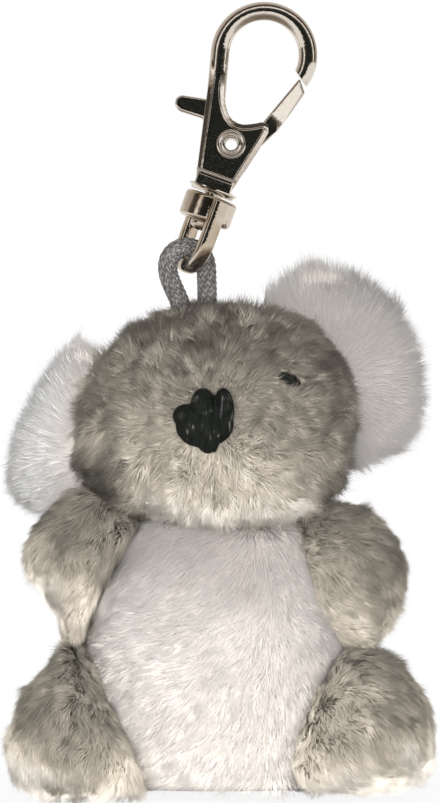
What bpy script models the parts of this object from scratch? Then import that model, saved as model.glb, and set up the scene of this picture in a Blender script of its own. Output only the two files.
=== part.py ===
"""Plush koala charm: a stuffed koala hung by a braided cord loop from a swivel snap hook.

Metres, +Z up, the front faces -Y. The origin is the top of the hook's crown, on its inner side,
where whatever carries the charm touches it.
"""

import math
from collections import namedtuple

import bmesh
import bpy
from mathutils import Euler, Matrix, Vector
from mathutils.bvhtree import BVHTree

MM = 0.001
WELD = 0.001 * MM
UNIT = 1.0
QUARTER_TURN = math.pi / 2
SHARP_ANGLE = math.radians(35)

# Driving sizes of the snap hook
CROWN_BORE_RADIUS = 4.85 * MM
WIRE_DIAMETER = 2.6 * MM
HOOK_TILT = math.radians(20)
SPINE_SPLAY = math.radians(14.7)
SPINE_LENGTH = 7.2 * MM
NOSE_ANGLE = math.radians(-24)
BODY_LENGTH = 13.2 * MM
BODY_WIDTH = 10.4 * MM
BODY_THICKNESS = 4.8 * MM
BODY_DROP = 18.3 * MM
BODY_EDGE = 0.45 * MM
PANEL_DEPTH = 0.25 * MM
PANEL_SHARE = 0.66
COLLAR_DIAMETER = 6.9 * MM
COLLAR_HEIGHT = 2.5 * MM
COLLAR_EDGE = 0.4 * MM
POCKET_WIDTH = 2.4 * MM
POCKET_FLOOR = 1.9 * MM
POCKET_HEIGHT = 8.4 * MM

# Driving sizes of the gate, its rivet and its spring
RIVET_DROP = 13.4 * MM
RIVET_RADIUS = 1.25 * MM
RIVET_BORE_RADIUS = 0.85 * MM
RIVET_HEAD_RADIUS = 2.05 * MM
RIVET_HEAD_HEIGHT = 0.45 * MM
LEVER_THICKNESS = 2.1 * MM
LEVER_REACH = 12.8 * MM
LEVER_EDGE = 0.3 * MM
TIP_ANGLE = math.radians(36)
TIP_GAP = 0.25 * MM
TIP_ACROSS_SHARE = 0.508
TIP_UP_SHARE = 0.888
SPRING_WIRE = 0.3 * MM
SPRING_RADIUS = 1.72 * MM
SPRING_TURNS = 2.5
SPRING_PITCH = 0.34 * MM

# Driving sizes of the swivel
STUD_RADIUS = 1.2 * MM
STUD_HEAD_RADIUS = 1.75 * MM
STUD_HEAD_HEIGHT = 1.2 * MM
STUD_SOCKET = 2.2 * MM
DRUM_RADIUS = 3.7 * MM
DRUM_HEIGHT = 3.8 * MM
DRUM_EDGE = 0.7 * MM
RING_HALF_WIDTH = 3.9 * MM
RING_DROP = 6.6 * MM
RING_WIRE_RADIUS = 1.0 * MM
RING_TURN = math.radians(22)
FIT_GAP = 0.1 * MM
SWIVEL_GAP = 0.3 * MM

# Driving sizes of the cord, and its route: sideways along the loop, and up, from the ring's bar
CORD_DIAMETER = 2.6 * MM
CORD_ROUTE = [
    (-0.45, -11.9), (-0.45, -9.3), (-0.5, -7.2), (-0.95, -5.2), (-1.75, -3.3), (-2.45, -1.6),
    (-2.68, 0.0), (-2.32, 1.34), (-1.34, 2.32), (0.0, 2.68), (1.34, 2.32), (2.32, 1.34),
    (2.68, 0.0), (2.75, -1.7), (2.8, -3.4), (2.78, -5.2), (2.72, -7.2), (2.7, -9.3), (2.7, -11.9),
]
CORD_STEPS = 2
KNOT_WIDTH = 7.0 * MM
KNOT_DEPTH = 4.4 * MM
KNOT_HEIGHT = 3.6 * MM
KNOT_FACE_SHARE = 0.8
SEW_GAP = 0.3 * MM

# Driving sizes of the koala, over the cloth and without its pile
CLOTH = 0.8 * MM
HEAD_WIDTH = 37.0 * MM
HEAD_DEPTH = 29.5 * MM
HEAD_HEIGHT = 28.6 * MM
TORSO_WIDTH = 37.0 * MM
TORSO_DEPTH = 29.0 * MM
TORSO_HEIGHT = 42.5 * MM
ARM_WIDTH = 13.0 * MM
ARM_DEPTH = 12.5 * MM
ARM_LENGTH = 24.5 * MM
LEG_WIDTH = 18.2 * MM
LEG_DEPTH = 25.5 * MM
LEG_HEIGHT = 22.0 * MM
EAR_WIDTH = 20.5 * MM
EAR_HEIGHT = 23.0 * MM
EAR_THICKNESS = 5.6 * MM
NOSE_WIDTH = 8.4 * MM
NOSE_HEIGHT = 9.0 * MM
NOSE_THICKNESS = 5.0 * MM
EYE_DIAMETER = 3.6 * MM
EYE_SINK = 1.1 * MM
SEAT_CUT = 0.5 * MM

# Where the koala's forms lie: middle across, middle front to back, and top below the origin
CROWN_DROP = 40.9 * MM
HEAD_ACROSS = -6.2 * MM
HEAD_FORWARD = -1.0 * MM
TORSO_DROP = 64.9 * MM
TORSO_ACROSS = -6.4 * MM
TORSO_FORWARD = 2.5 * MM
SHOULDER_DROP = 65.3 * MM
SHOULDER_SPREAD = 19.0 * MM
SHOULDER_ACROSS = -0.5 * MM
SHOULDER_FORWARD = -0.5 * MM
LEG_SPREAD = 19.6 * MM
LEG_FORWARD = -8.5 * MM
SEAM_FORWARD = -2.0 * MM
NECK_RADIUS = 6.0 * MM
RIGHT_EAR_OUT = 16.9 * MM
RIGHT_EAR_DROP = 48.2 * MM
LEFT_EAR_OUT = 20.6 * MM
LEFT_EAR_DROP = 58.3 * MM
EAR_BACK = 5.5 * MM
NOSE_ACROSS = -2.0 * MM
NOSE_DROP = 56.1 * MM
RIGHT_EYE_ACROSS = 9.6 * MM
RIGHT_EYE_DROP = 50.2 * MM
LEFT_EYE_ACROSS = -10.4 * MM
LEFT_EYE_DROP = 51.8 * MM
ARM_LEAN = math.radians(12)
ARM_REACH_LEAN = math.radians(14)
HEAD_ROLL = math.radians(-5)
HEAD_YAW = math.radians(-8)
LEG_TOE_OUT = math.radians(16)
RIGHT_EAR_LEAN = math.radians(-14)
RIGHT_EAR_YAW = math.radians(14)
LEFT_EAR_LEAN = math.radians(14)
LEFT_EAR_YAW = math.radians(-36)

# Counts
ARC_STEPS = 20
TURN_STEPS = 24
WIRE_SIDES = 3
CORD_SIDES = 2
THIN_SIDES = 1
RING_SIDES = 10
LIMB_SIDES = 8
EAR_SIDES = 10
SMOOTHING = 1
SPRING_POINTS = 10

# Body outline: across as a share of its width, and up from its foot as a share of its length
BODY_OUTLINE_SHARES = [
    (-0.580, 1.0), (-0.534, 0.758), (-0.298, 0.0), (0.221, 0.0), (0.420, 0.590), (0.400, 0.682),
    (0.308, 0.716), (0.177, 0.650), (0.021, 0.597), (-0.130, 0.621), (-0.250, 0.735),
    (-0.320, 0.871), (-0.350, 1.0),
]

# Lever outline round the rivet, as shares of the gate's reach: thumb tab, hub, gate and tip
LEVER_OUTLINE_SHARES = [
    (-0.434, 0.375), (-0.690, 0.325), (-0.735, 0.290), (-0.742, 0.235), (-0.715, 0.180),
    (-0.650, 0.152), (-0.394, 0.164), (-0.225, -0.040), (-0.150, -0.160), (-0.010, -0.212),
    (0.135, -0.165), (0.225, -0.040), (0.330, 0.130), (0.433, 0.345), (0.566, 0.800),
    (0.452, 0.940), (0.300, 0.515), (0.232, 0.320), (0.090, 0.235), (-0.120, 0.262),
]

# Profiles of the forms, as shares: up, width, depth, sideways and forward, from the foot up
HEAD_SHARES = [
    (0.02, 0.44, 0.50, 0.00, 0.02), (0.12, 0.78, 0.78, -0.01, 0.06), (0.30, 0.97, 0.97, -0.02, 0.08),
    (0.50, 1.00, 1.00, 0.00, 0.05), (0.70, 0.95, 0.90, 0.01, 0.00), (0.87, 0.82, 0.74, 0.00, -0.03),
    (0.98, 0.50, 0.46, -0.01, -0.03),
]
TORSO_SHARES = [
    (0.00, 0.48, 0.56, 0.00, 0.00), (0.09, 0.78, 0.82, 0.00, 0.03), (0.27, 0.98, 0.99, 0.00, 0.05),
    (0.47, 0.99, 0.98, 0.00, 0.03), (0.66, 0.86, 0.86, 0.00, -0.01), (0.84, 0.66, 0.68, 0.00, -0.04),
    (0.97, 0.38, 0.42, 0.00, -0.05),
]
ARM_SHARES = [
    (0.03, 0.40, 0.42, -0.10, 0.10), (0.20, 0.74, 0.76, -0.02, 0.08), (0.46, 0.98, 0.98, 0.08, 0.02),
    (0.70, 1.00, 1.00, 0.06, 0.00), (0.88, 0.76, 0.80, -0.06, 0.00), (0.99, 0.38, 0.42, -0.14, 0.00),
]
LEG_SHARES = [
    (0.00, 0.62, 0.62, -0.02, 0.02), (0.16, 0.94, 0.94, 0.00, 0.04), (0.38, 1.00, 1.00, 0.02, 0.02),
    (0.60, 0.80, 0.82, 0.06, -0.06), (0.82, 0.55, 0.56, 0.11, -0.14), (0.98, 0.26, 0.28, 0.13, -0.20),
]
EAR_SHARES = [
    (0.00, 0.36, 0.50, 0.0, 0.0), (0.13, 0.74, 0.85, 0.0, 0.0), (0.36, 0.98, 1.0, 0.0, 0.0),
    (0.62, 1.00, 1.0, 0.0, 0.0), (0.86, 0.76, 0.85, 0.0, 0.0), (1.00, 0.38, 0.50, 0.0, 0.0),
]
NOSE_SHARES = [
    (0.00, 0.26, 0.50, 0.0, 0.0), (0.22, 0.62, 0.85, 0.0, 0.0), (0.52, 0.96, 1.0, 0.0, 0.02),
    (0.80, 1.00, 0.95, 0.0, 0.0), (0.98, 0.62, 0.60, 0.0, 0.0),
]

GREY_PLUSH = (0.36, 0.34, 0.30)
CREAM_PLUSH = (0.86, 0.82, 0.78)
EAR_PLUSH = (0.72, 0.67, 0.66)
NICKEL = (0.66, 0.63, 0.60)
SPRING_STEEL = (0.55, 0.55, 0.56)
CORD_GREY = (0.20, 0.20, 0.20)
NOSE_BLACK = (0.015, 0.015, 0.017)
FIBRE_WHITE = (0.85, 0.85, 0.84)

Form = namedtuple("Form", "width depth height centre turn shares sides")


def clear_scene():
    for obj in list(bpy.data.objects):
        bpy.data.objects.remove(obj, do_unlink=True)


def new_collection(name):
    collection = bpy.data.collections.new(name)
    bpy.context.scene.collection.children.link(collection)
    return collection


def new_material(name, colour, roughness, metallic=0.0):
    material = bpy.data.materials.new(name)
    material.use_nodes = True
    shader = material.node_tree.nodes["Principled BSDF"]
    shader.inputs["Base Color"].default_value = (*colour, 1)
    shader.inputs["Roughness"].default_value = roughness
    shader.inputs["Metallic"].default_value = metallic
    return material


clear_scene()
PARTS = new_collection("plush_koala")
CUTTERS = new_collection("cutters")
MATERIALS = {
    "nickel": new_material("nickel", NICKEL, 0.15, 1.0),
    "spring_steel": new_material("spring_steel", SPRING_STEEL, 0.3, 1.0),
    "cord": new_material("cord", CORD_GREY, 0.85),
    "grey_plush": new_material("grey_plush", GREY_PLUSH, 0.95),
    "cream_plush": new_material("cream_plush", CREAM_PLUSH, 0.95),
    "ear_plush": new_material("ear_plush", EAR_PLUSH, 0.95),
    "nose": new_material("nose", NOSE_BLACK, 0.45),
    "eye": new_material("eye", NOSE_BLACK, 0.08),
    "fibre": new_material("fibre", FIBRE_WHITE, 1.0),
}


def new_part(name, mesh, material, parent=None):
    part = bpy.data.objects.new(name, mesh)
    mesh.materials.clear()
    mesh.materials.append(MATERIALS[material])
    PARTS.objects.link(part)
    part.parent = parent
    return part


def new_cutter(name, mesh, parent=None):
    cutter = bpy.data.objects.new(name, mesh)
    cutter.display_type = "WIRE"
    cutter.hide_render = True
    CUTTERS.objects.link(cutter)
    cutter.parent = parent
    return cutter


def boolean(target, tool, operation="DIFFERENCE", solver="EXACT"):
    change = target.modifiers.new(operation.lower(), "BOOLEAN")
    change.operation = operation
    change.solver = solver
    change.object = tool


def round_edges(target, width, segments=2):
    edge = target.modifiers.new("edge", "BEVEL")
    edge.width = width
    edge.segments = segments
    edge.limit_method = "ANGLE"


def evaluated_mesh(obj):
    bpy.context.view_layer.update()
    ready = obj.evaluated_get(bpy.context.evaluated_depsgraph_get())
    return bpy.data.meshes.new_from_object(ready)


def smooth(mesh, angle=SHARP_ANGLE):
    mesh.shade_smooth()
    mesh.set_sharp_from_angle(angle=angle)
    return mesh


def curve_mesh(curve):
    """Mesh of a curve with its loose caps welded on."""
    guide = bpy.data.objects.new("guide", curve)
    CUTTERS.objects.link(guide)
    mesh = evaluated_mesh(guide)
    bpy.data.objects.remove(guide)
    bpy.data.curves.remove(curve)
    bm = bmesh.new()
    bm.from_mesh(mesh)
    bmesh.ops.remove_doubles(bm, verts=bm.verts, dist=WELD)
    bmesh.ops.recalc_face_normals(bm, faces=bm.faces)
    bm.to_mesh(mesh)
    bm.free()
    return smooth(mesh)


def tube_mesh(points, radius, sides=WIRE_SIDES):
    """Round tube along points in space, closed at both ends."""
    curve = bpy.data.curves.new("tube", "CURVE")
    curve.dimensions = "3D"
    curve.bevel_depth = radius
    curve.bevel_resolution = sides
    curve.use_fill_caps = True
    spline = curve.splines.new("POLY")
    spline.points.add(len(points) - 1)
    for point, place in zip(spline.points, points):
        point.co = (*place, 1)
    return curve_mesh(curve)


def plate_mesh(outline, thickness):
    """Flat outline in X and Z, given thickness along Y about its middle."""
    curve = bpy.data.curves.new("outline", "CURVE")
    curve.dimensions = "2D"
    curve.fill_mode = "BOTH"
    curve.extrude = thickness / 2
    spline = curve.splines.new("POLY")
    spline.points.add(len(outline) - 1)
    for point, (across, up) in zip(spline.points, outline):
        point.co = (across, up, 0, 1)
    spline.use_cyclic_u = True
    mesh = curve_mesh(curve)
    mesh.transform(Matrix.Rotation(QUARTER_TURN, 4, "X"))
    return mesh


def turned_mesh(profile, steps=TURN_STEPS):
    """Profile of radius and height, outer side from the top down, turned about Z."""
    bm = bmesh.new()
    ring = [bm.verts.new((radius, 0, height)) for radius, height in profile]
    for start, end in zip(ring, ring[1:]):
        bm.edges.new((start, end))
    if profile[0][0] > 0:
        bm.edges.new((ring[-1], ring[0]))
    mesh = bpy.data.meshes.new("profile")
    bm.to_mesh(mesh)
    bm.free()
    guide = bpy.data.objects.new("guide", mesh)
    CUTTERS.objects.link(guide)
    turn = guide.modifiers.new("turn", "SCREW")
    turn.steps = turn.render_steps = steps
    turn.use_merge_vertices = True
    turn.merge_threshold = WELD
    turned = evaluated_mesh(guide)
    bpy.data.objects.remove(guide)
    return smooth(turned)


def box_mesh(low, high):
    bm = bmesh.new()
    bmesh.ops.create_cube(bm, size=UNIT)
    size = [top - bottom for bottom, top in zip(low, high)]
    middle = [(top + bottom) / 2 for bottom, top in zip(low, high)]
    bmesh.ops.transform(bm, matrix=Matrix.LocRotScale(middle, None, size), verts=bm.verts)
    mesh = bpy.data.meshes.new("box")
    bm.to_mesh(mesh)
    bm.free()
    return mesh


def rod_mesh(radius, length, middle):
    """Plain round rod along Y."""
    bm = bmesh.new()
    lay = Matrix.Translation(middle) @ Matrix.Rotation(QUARTER_TURN, 4, "X")
    bmesh.ops.create_cone(
        bm, cap_ends=True, segments=TURN_STEPS, radius1=radius, radius2=radius, depth=length, matrix=lay
    )
    mesh = bpy.data.meshes.new("rod")
    bm.to_mesh(mesh)
    bm.free()
    return mesh


# The snap hook is built upright about the middle of its crown, in a frame that leans with it
HOOK_FRAME = bpy.data.objects.new("hook_frame", None)
PARTS.objects.link(HOOK_FRAME)
HOOK_FRAME.location = (0, 0, -CROWN_BORE_RADIUS)
HOOK_FRAME.rotation_euler = (0, HOOK_TILT, 0)
WIRE_RADIUS = WIRE_DIAMETER / 2
CROWN_RADIUS = CROWN_BORE_RADIUS + WIRE_RADIUS
THROUGH = BODY_THICKNESS * 2
RIVET_PLACE = Vector((0, 0, -RIVET_DROP))
TIP_PLACE = RIVET_PLACE + Vector((LEVER_REACH * TIP_ACROSS_SHARE, 0, LEVER_REACH * TIP_UP_SHARE))


def wire_points():
    """Up the spine and over the crown to the nose."""
    first = math.pi + SPINE_SPLAY
    sweep = first - NOSE_ANGLE
    points = []
    for step in range(ARC_STEPS + 1):
        angle = first - sweep * step / ARC_STEPS
        points.append(Vector((CROWN_RADIUS * math.cos(angle), 0, CROWN_RADIUS * math.sin(angle))))
    down = Vector((math.sin(SPINE_SPLAY), 0, -math.cos(SPINE_SPLAY)))
    return [points[0] + down * SPINE_LENGTH] + points


def body_outline(scale=1.0):
    """Outline of the cheeks, drawn in towards the rivet by the scale."""
    outline = []
    for across_share, up_share in BODY_OUTLINE_SHARES:
        across = across_share * BODY_WIDTH
        up = up_share * BODY_LENGTH - BODY_DROP
        outline.append((across * scale, RIVET_PLACE.z + (up - RIVET_PLACE.z) * scale))
    return outline


def make_hook_body():
    body = new_part("hook_body", plate_mesh(body_outline(), BODY_THICKNESS), "nickel", HOOK_FRAME)
    round_edges(body, BODY_EDGE)
    for side, name in ((-1, "front"), (1, "back")):
        panel = new_cutter(f"panel_{name}", plate_mesh(body_outline(PANEL_SHARE), PANEL_DEPTH * 2))
        panel.parent = HOOK_FRAME
        panel.location.y = side * BODY_THICKNESS / 2
        boolean(body, panel)
    wire = new_cutter("wire", tube_mesh(wire_points(), WIRE_RADIUS), HOOK_FRAME)
    nose_size = WIRE_DIAMETER * 2
    nose_cut = new_cutter(
        "nose_cut", box_mesh((-nose_size, -nose_size, -nose_size), (nose_size, nose_size, 0)), HOOK_FRAME
    )
    nose_cut.location = TIP_PLACE + Vector((math.sin(TIP_ANGLE), 0, math.cos(TIP_ANGLE))) * TIP_GAP
    nose_cut.rotation_euler = (0, TIP_ANGLE, 0)
    boolean(wire, nose_cut)
    boolean(body, wire, "UNION")
    collar_radius = COLLAR_DIAMETER / 2
    socket_radius = STUD_RADIUS + FIT_GAP
    top = COLLAR_EDGE - BODY_DROP
    bottom = -BODY_DROP - COLLAR_HEIGHT
    collar = new_cutter(
        "collar",
        turned_mesh(
            [
                (0, top),
                (collar_radius - COLLAR_EDGE, top),
                (collar_radius, top - COLLAR_EDGE),
                (collar_radius, bottom + COLLAR_EDGE),
                (collar_radius - COLLAR_EDGE, bottom),
                (socket_radius, bottom),
                (socket_radius, bottom + STUD_SOCKET),
                (0, bottom + STUD_SOCKET),
            ]
        ),
        HOOK_FRAME,
    )
    boolean(body, collar, "UNION")
    floor = -BODY_DROP + POCKET_FLOOR
    pocket = new_cutter(
        "pocket",
        box_mesh(
            (-BODY_WIDTH, -POCKET_WIDTH / 2, floor),
            (BODY_WIDTH, POCKET_WIDTH / 2, floor + POCKET_HEIGHT),
        ),
        HOOK_FRAME,
    )
    boolean(body, pocket)
    rivet_hole = new_cutter(
        "rivet_hole", rod_mesh(RIVET_RADIUS + FIT_GAP, THROUGH, RIVET_PLACE), HOOK_FRAME
    )
    boolean(body, rivet_hole)


def make_gate():
    outline = [(across * LEVER_REACH, up * LEVER_REACH) for across, up in LEVER_OUTLINE_SHARES]
    lever = new_part("gate_lever", plate_mesh(outline, LEVER_THICKNESS), "nickel", HOOK_FRAME)
    lever.location = RIVET_PLACE
    round_edges(lever, LEVER_EDGE)
    hole = new_cutter("lever_hole", rod_mesh(RIVET_RADIUS + FIT_GAP, THROUGH, (0, 0, 0)), lever)
    boolean(lever, hole)
    back = LEVER_THICKNESS / 2
    recess_radius = SPRING_RADIUS + SPRING_WIRE
    recess_depth = SPRING_WIRE + SPRING_TURNS * SPRING_PITCH + FIT_GAP
    recess = new_cutter(
        "spring_recess", rod_mesh(recess_radius, recess_depth * 2, (0, back, 0)), lever
    )
    boolean(lever, recess)
    notch = new_cutter(
        "spring_notch",
        box_mesh(
            (-recess_radius, back - recess_depth, -recess_radius * 2), (recess_radius * 2, back * 2, 0)
        ),
        lever,
    )
    boolean(lever, notch)


def make_rivet():
    """Hollow rivet: a tube with a rolled head on each cheek."""
    half = BODY_THICKNESS / 2 + FIT_GAP
    top = half + RIVET_HEAD_HEIGHT
    edge = RIVET_HEAD_HEIGHT / 2
    profile = [
        (RIVET_BORE_RADIUS, top - edge),
        (RIVET_BORE_RADIUS + edge, top),
        (RIVET_HEAD_RADIUS - edge, top),
        (RIVET_HEAD_RADIUS, half + edge),
        (RIVET_HEAD_RADIUS, half),
        (RIVET_RADIUS, half),
    ]
    profile += [(radius, -height) for radius, height in reversed(profile)]
    mesh = turned_mesh(profile)
    mesh.transform(Matrix.Rotation(QUARTER_TURN, 4, "X"))
    rivet = new_part("gate_rivet", mesh, "nickel", HOOK_FRAME)
    rivet.location = RIVET_PLACE


def make_spring():
    """Torsion spring round the rivet, its long leg on the floor of the pocket."""
    back = LEVER_THICKNESS / 2
    wire_radius = SPRING_WIRE / 2
    floor = RIVET_DROP - BODY_DROP + POCKET_FLOOR
    points = [Vector((SPRING_RADIUS, back - wire_radius, floor + wire_radius + FIT_GAP))]
    steps = int(SPRING_TURNS * SPRING_POINTS)
    for step in range(steps + 1):
        angle = math.tau * step / SPRING_POINTS
        inward = back - wire_radius - SPRING_PITCH * step / SPRING_POINTS
        points.append(Vector((SPRING_RADIUS * math.cos(angle), inward, SPRING_RADIUS * math.sin(angle))))
    spring = new_part(
        "gate_spring", tube_mesh(points, wire_radius, THIN_SIDES), "spring_steel", HOOK_FRAME
    )
    spring.location = RIVET_PLACE


# The swivel turns about the hook's own axis, below the collar
DRUM_TOP = -BODY_DROP - COLLAR_HEIGHT - SWIVEL_GAP
DRUM_BOTTOM = DRUM_TOP - DRUM_HEIGHT
BAR_PLACE = Vector((0, 0, DRUM_BOTTOM - RING_DROP))


def make_stud():
    head_top = DRUM_BOTTOM - FIT_GAP
    head_bottom = head_top - STUD_HEAD_HEIGHT
    edge = STUD_HEAD_HEIGHT / 2
    top = -BODY_DROP - COLLAR_HEIGHT + STUD_SOCKET - FIT_GAP
    profile = [
        (0, top),
        (STUD_RADIUS, top),
        (STUD_RADIUS, head_top),
        (STUD_HEAD_RADIUS, head_top),
        (STUD_HEAD_RADIUS, head_top - edge),
        (STUD_HEAD_RADIUS - edge, head_bottom),
        (0, head_bottom),
    ]
    new_part("swivel_stud", turned_mesh(profile), "nickel", HOOK_FRAME)


def ring_points():
    """Down the front of the drum, round the bar and up its back."""
    centre = BAR_PLACE.z + RING_HALF_WIDTH
    leg_top = DRUM_TOP - DRUM_EDGE
    points = [Vector((0, -RING_HALF_WIDTH, leg_top))]
    for step in range(ARC_STEPS // 2 + 1):
        angle = math.pi * step / (ARC_STEPS // 2)
        points.append(
            Vector((0, -RING_HALF_WIDTH * math.cos(angle), centre - RING_HALF_WIDTH * math.sin(angle)))
        )
    return points + [Vector((0, RING_HALF_WIDTH, leg_top))]


def make_eye():
    bore = STUD_RADIUS + FIT_GAP
    profile = [
        (bore, DRUM_TOP),
        (DRUM_RADIUS - DRUM_EDGE / 2, DRUM_TOP),
        (DRUM_RADIUS, DRUM_TOP - DRUM_EDGE / 2),
        (DRUM_RADIUS, DRUM_BOTTOM + DRUM_EDGE),
        (DRUM_RADIUS - DRUM_EDGE, DRUM_BOTTOM),
        (bore, DRUM_BOTTOM),
    ]
    eye = new_part("swivel_eye", turned_mesh(profile), "nickel", HOOK_FRAME)
    eye.rotation_euler.z = RING_TURN
    ring = new_cutter("ring", tube_mesh(ring_points(), RING_WIRE_RADIUS, CORD_SIDES), HOOK_FRAME)
    ring.rotation_euler.z = RING_TURN
    boolean(eye, ring, "UNION")


def bar_point():
    bpy.context.view_layer.update()
    return HOOK_FRAME.matrix_world @ BAR_PLACE


def smooth_route(route, steps):
    """Points read from a smooth curve through the route's own points."""
    ends = [route[0] * 2 - route[1]] + route + [route[-1] * 2 - route[-2]]
    points = []
    for before, start, end, after in zip(ends, ends[1:], ends[2:], ends[3:]):
        for step in range(steps):
            t = step / steps
            swing = (end - before) * t + (before * 2 - start * 5 + end * 4 - after) * t**2
            points.append(start + (swing + (start * 3 - before - end * 3 + after) * t**3) / 2)
    return points + [route[-1]]


def cord_points():
    bar = bar_point()
    along = Vector((1, math.tan(RING_TURN), 0)) * MM
    route = [bar + along * across + Vector((0, 0, up * MM)) for across, up in CORD_ROUTE]
    return smooth_route(route, CORD_STEPS)


def make_cord():
    points = cord_points()
    new_part("cord_loop", tube_mesh(points, CORD_DIAMETER / 2, CORD_SIDES), "cord")
    middle = (points[0] + points[-1]) / 2
    new_part("cord_knot", knot_mesh(middle, 0), "cord")
    return points, middle


def knot_mesh(middle, grow):
    """Flat topped lump under both ends of the cord."""
    half_width = KNOT_WIDTH / 2
    top = KNOT_HEIGHT / 2
    profile = [
        (0, top),
        (half_width * KNOT_FACE_SHARE, top),
        (half_width, 0),
        (half_width * KNOT_FACE_SHARE, -top),
        (0, -top),
    ]
    mesh = turned_mesh(profile, LIMB_SIDES * 2)
    stretch = Matrix.Diagonal(
        (
            1 + 2 * grow / KNOT_WIDTH,
            (KNOT_DEPTH + 2 * grow) / KNOT_WIDTH,
            1 + 2 * grow / KNOT_HEIGHT,
            1,
        )
    )
    drop = Vector((0, 0, -top - SEW_GAP))
    mesh.transform(Matrix.Translation(middle + drop) @ Matrix.Rotation(RING_TURN, 4, "Z") @ stretch)
    return mesh


def form_mesh(form):
    """Smooth closed form through rings of the profile, sized to the form."""
    bm = bmesh.new()
    rings = []
    last = len(form.shares) - 1
    for level, (up, width, depth, sideways, forward) in enumerate(form.shares):
        known = set(bm.edges)
        place = Matrix.LocRotScale((sideways, -forward, up), None, (width, depth, 1))
        bmesh.ops.create_circle(
            bm, cap_ends=level in (0, last), cap_tris=True, radius=UNIT / 2, segments=form.sides, matrix=place
        )
        rings.append([edge for edge in bm.edges if edge not in known and len(edge.link_faces) < 2])
    for lower, upper in zip(rings, rings[1:]):
        bmesh.ops.bridge_loops(bm, edges=lower + upper)
    bmesh.ops.recalc_face_normals(bm, faces=bm.faces)
    mesh = bpy.data.meshes.new("form")
    bm.to_mesh(mesh)
    bm.free()
    guide = bpy.data.objects.new("guide", mesh)
    CUTTERS.objects.link(guide)
    soften = guide.modifiers.new("soften", "SUBSURF")
    soften.levels = soften.render_levels = SMOOTHING
    mesh = evaluated_mesh(guide)
    bpy.data.objects.remove(guide)
    low = [min(vertex.co[axis] for vertex in mesh.vertices) for axis in range(3)]
    high = [max(vertex.co[axis] for vertex in mesh.vertices) for axis in range(3)]
    size = (form.width, form.depth, form.height)
    scale = [full / (top - bottom) for full, top, bottom in zip(size, high, low)]
    middle = Vector([(top + bottom) / 2 for top, bottom in zip(high, low)])
    fit = Matrix.LocRotScale(form.centre, form.turn, scale)
    mesh.transform(fit @ Matrix.Translation(-middle))
    return smooth(mesh, math.pi)


def swell(obj, distance):
    """Move the surface outwards by the distance, or inwards where it is negative."""
    change = obj.modifiers.new("swell", "DISPLACE")
    change.mid_level = 0
    change.strength = distance


def stuffing_part(name, form):
    """Loose fibre that fills the form inside its cloth."""
    stuffing = new_part(name, form_mesh(form), "fibre")
    swell(stuffing, -CLOTH - SEW_GAP)
    return stuffing


def form_cutter(name, form):
    """Room that a form takes from its smaller neighbours."""
    cutter = new_cutter(name, form_mesh(form))
    swell(cutter, SEW_GAP)
    return cutter


def skin_part(name, form, material):
    """Cloth shell of the form, its wall inwards."""
    skin = new_part(name, form_mesh(form), material)
    wall = skin.modifiers.new("cloth", "SOLIDIFY")
    wall.thickness = CLOTH
    wall.offset = -1
    wall.use_even_offset = True
    return skin


SEAT_DROP = TORSO_DROP + TORSO_HEIGHT - SEAT_CUT
LEG_MIDDLE_DROP = SEAT_DROP + SEAT_CUT - LEG_HEIGHT / 2

HEAD = Form(
    HEAD_WIDTH, HEAD_DEPTH, HEAD_HEIGHT,
    Vector((HEAD_ACROSS, HEAD_FORWARD, -CROWN_DROP - HEAD_HEIGHT / 2)),
    Euler((0, HEAD_ROLL, HEAD_YAW)), HEAD_SHARES, RING_SIDES,
)
TORSO = Form(
    TORSO_WIDTH, TORSO_DEPTH, TORSO_HEIGHT,
    Vector((TORSO_ACROSS, TORSO_FORWARD, -TORSO_DROP - TORSO_HEIGHT / 2)),
    Euler((0, 0, 0)), TORSO_SHARES, RING_SIDES,
)


def mirrored(shares):
    """The same profile for the other side of the body."""
    return [(up, width, depth, -sideways, forward) for up, width, depth, sideways, forward in shares]


def limb_forms():
    """Arms and legs, side -1 on the viewer's left and 1 on the right."""
    forms = {}
    for side, name in ((-1, "left"), (1, "right")):
        arm_shares = ARM_SHARES if side > 0 else mirrored(ARM_SHARES)
        leg_shares = LEG_SHARES if side > 0 else mirrored(LEG_SHARES)
        arm_place = Vector(
            (TORSO_ACROSS + SHOULDER_ACROSS + side * SHOULDER_SPREAD, SHOULDER_FORWARD, -SHOULDER_DROP - ARM_LENGTH / 2)
        )
        leg_place = Vector((TORSO_ACROSS + side * LEG_SPREAD, LEG_FORWARD, -LEG_MIDDLE_DROP))
        forms[f"arm_{name}"] = Form(
            ARM_WIDTH, ARM_DEPTH, ARM_LENGTH, arm_place,
            Euler((-ARM_REACH_LEAN, -side * ARM_LEAN, 0)), arm_shares, LIMB_SIDES,
        )
        forms[f"leg_{name}"] = Form(
            LEG_WIDTH, LEG_DEPTH, LEG_HEIGHT, leg_place,
            Euler((0, 0, side * LEG_TOE_OUT)), leg_shares, LIMB_SIDES,
        )
    return forms


LIMBS = limb_forms()


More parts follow.
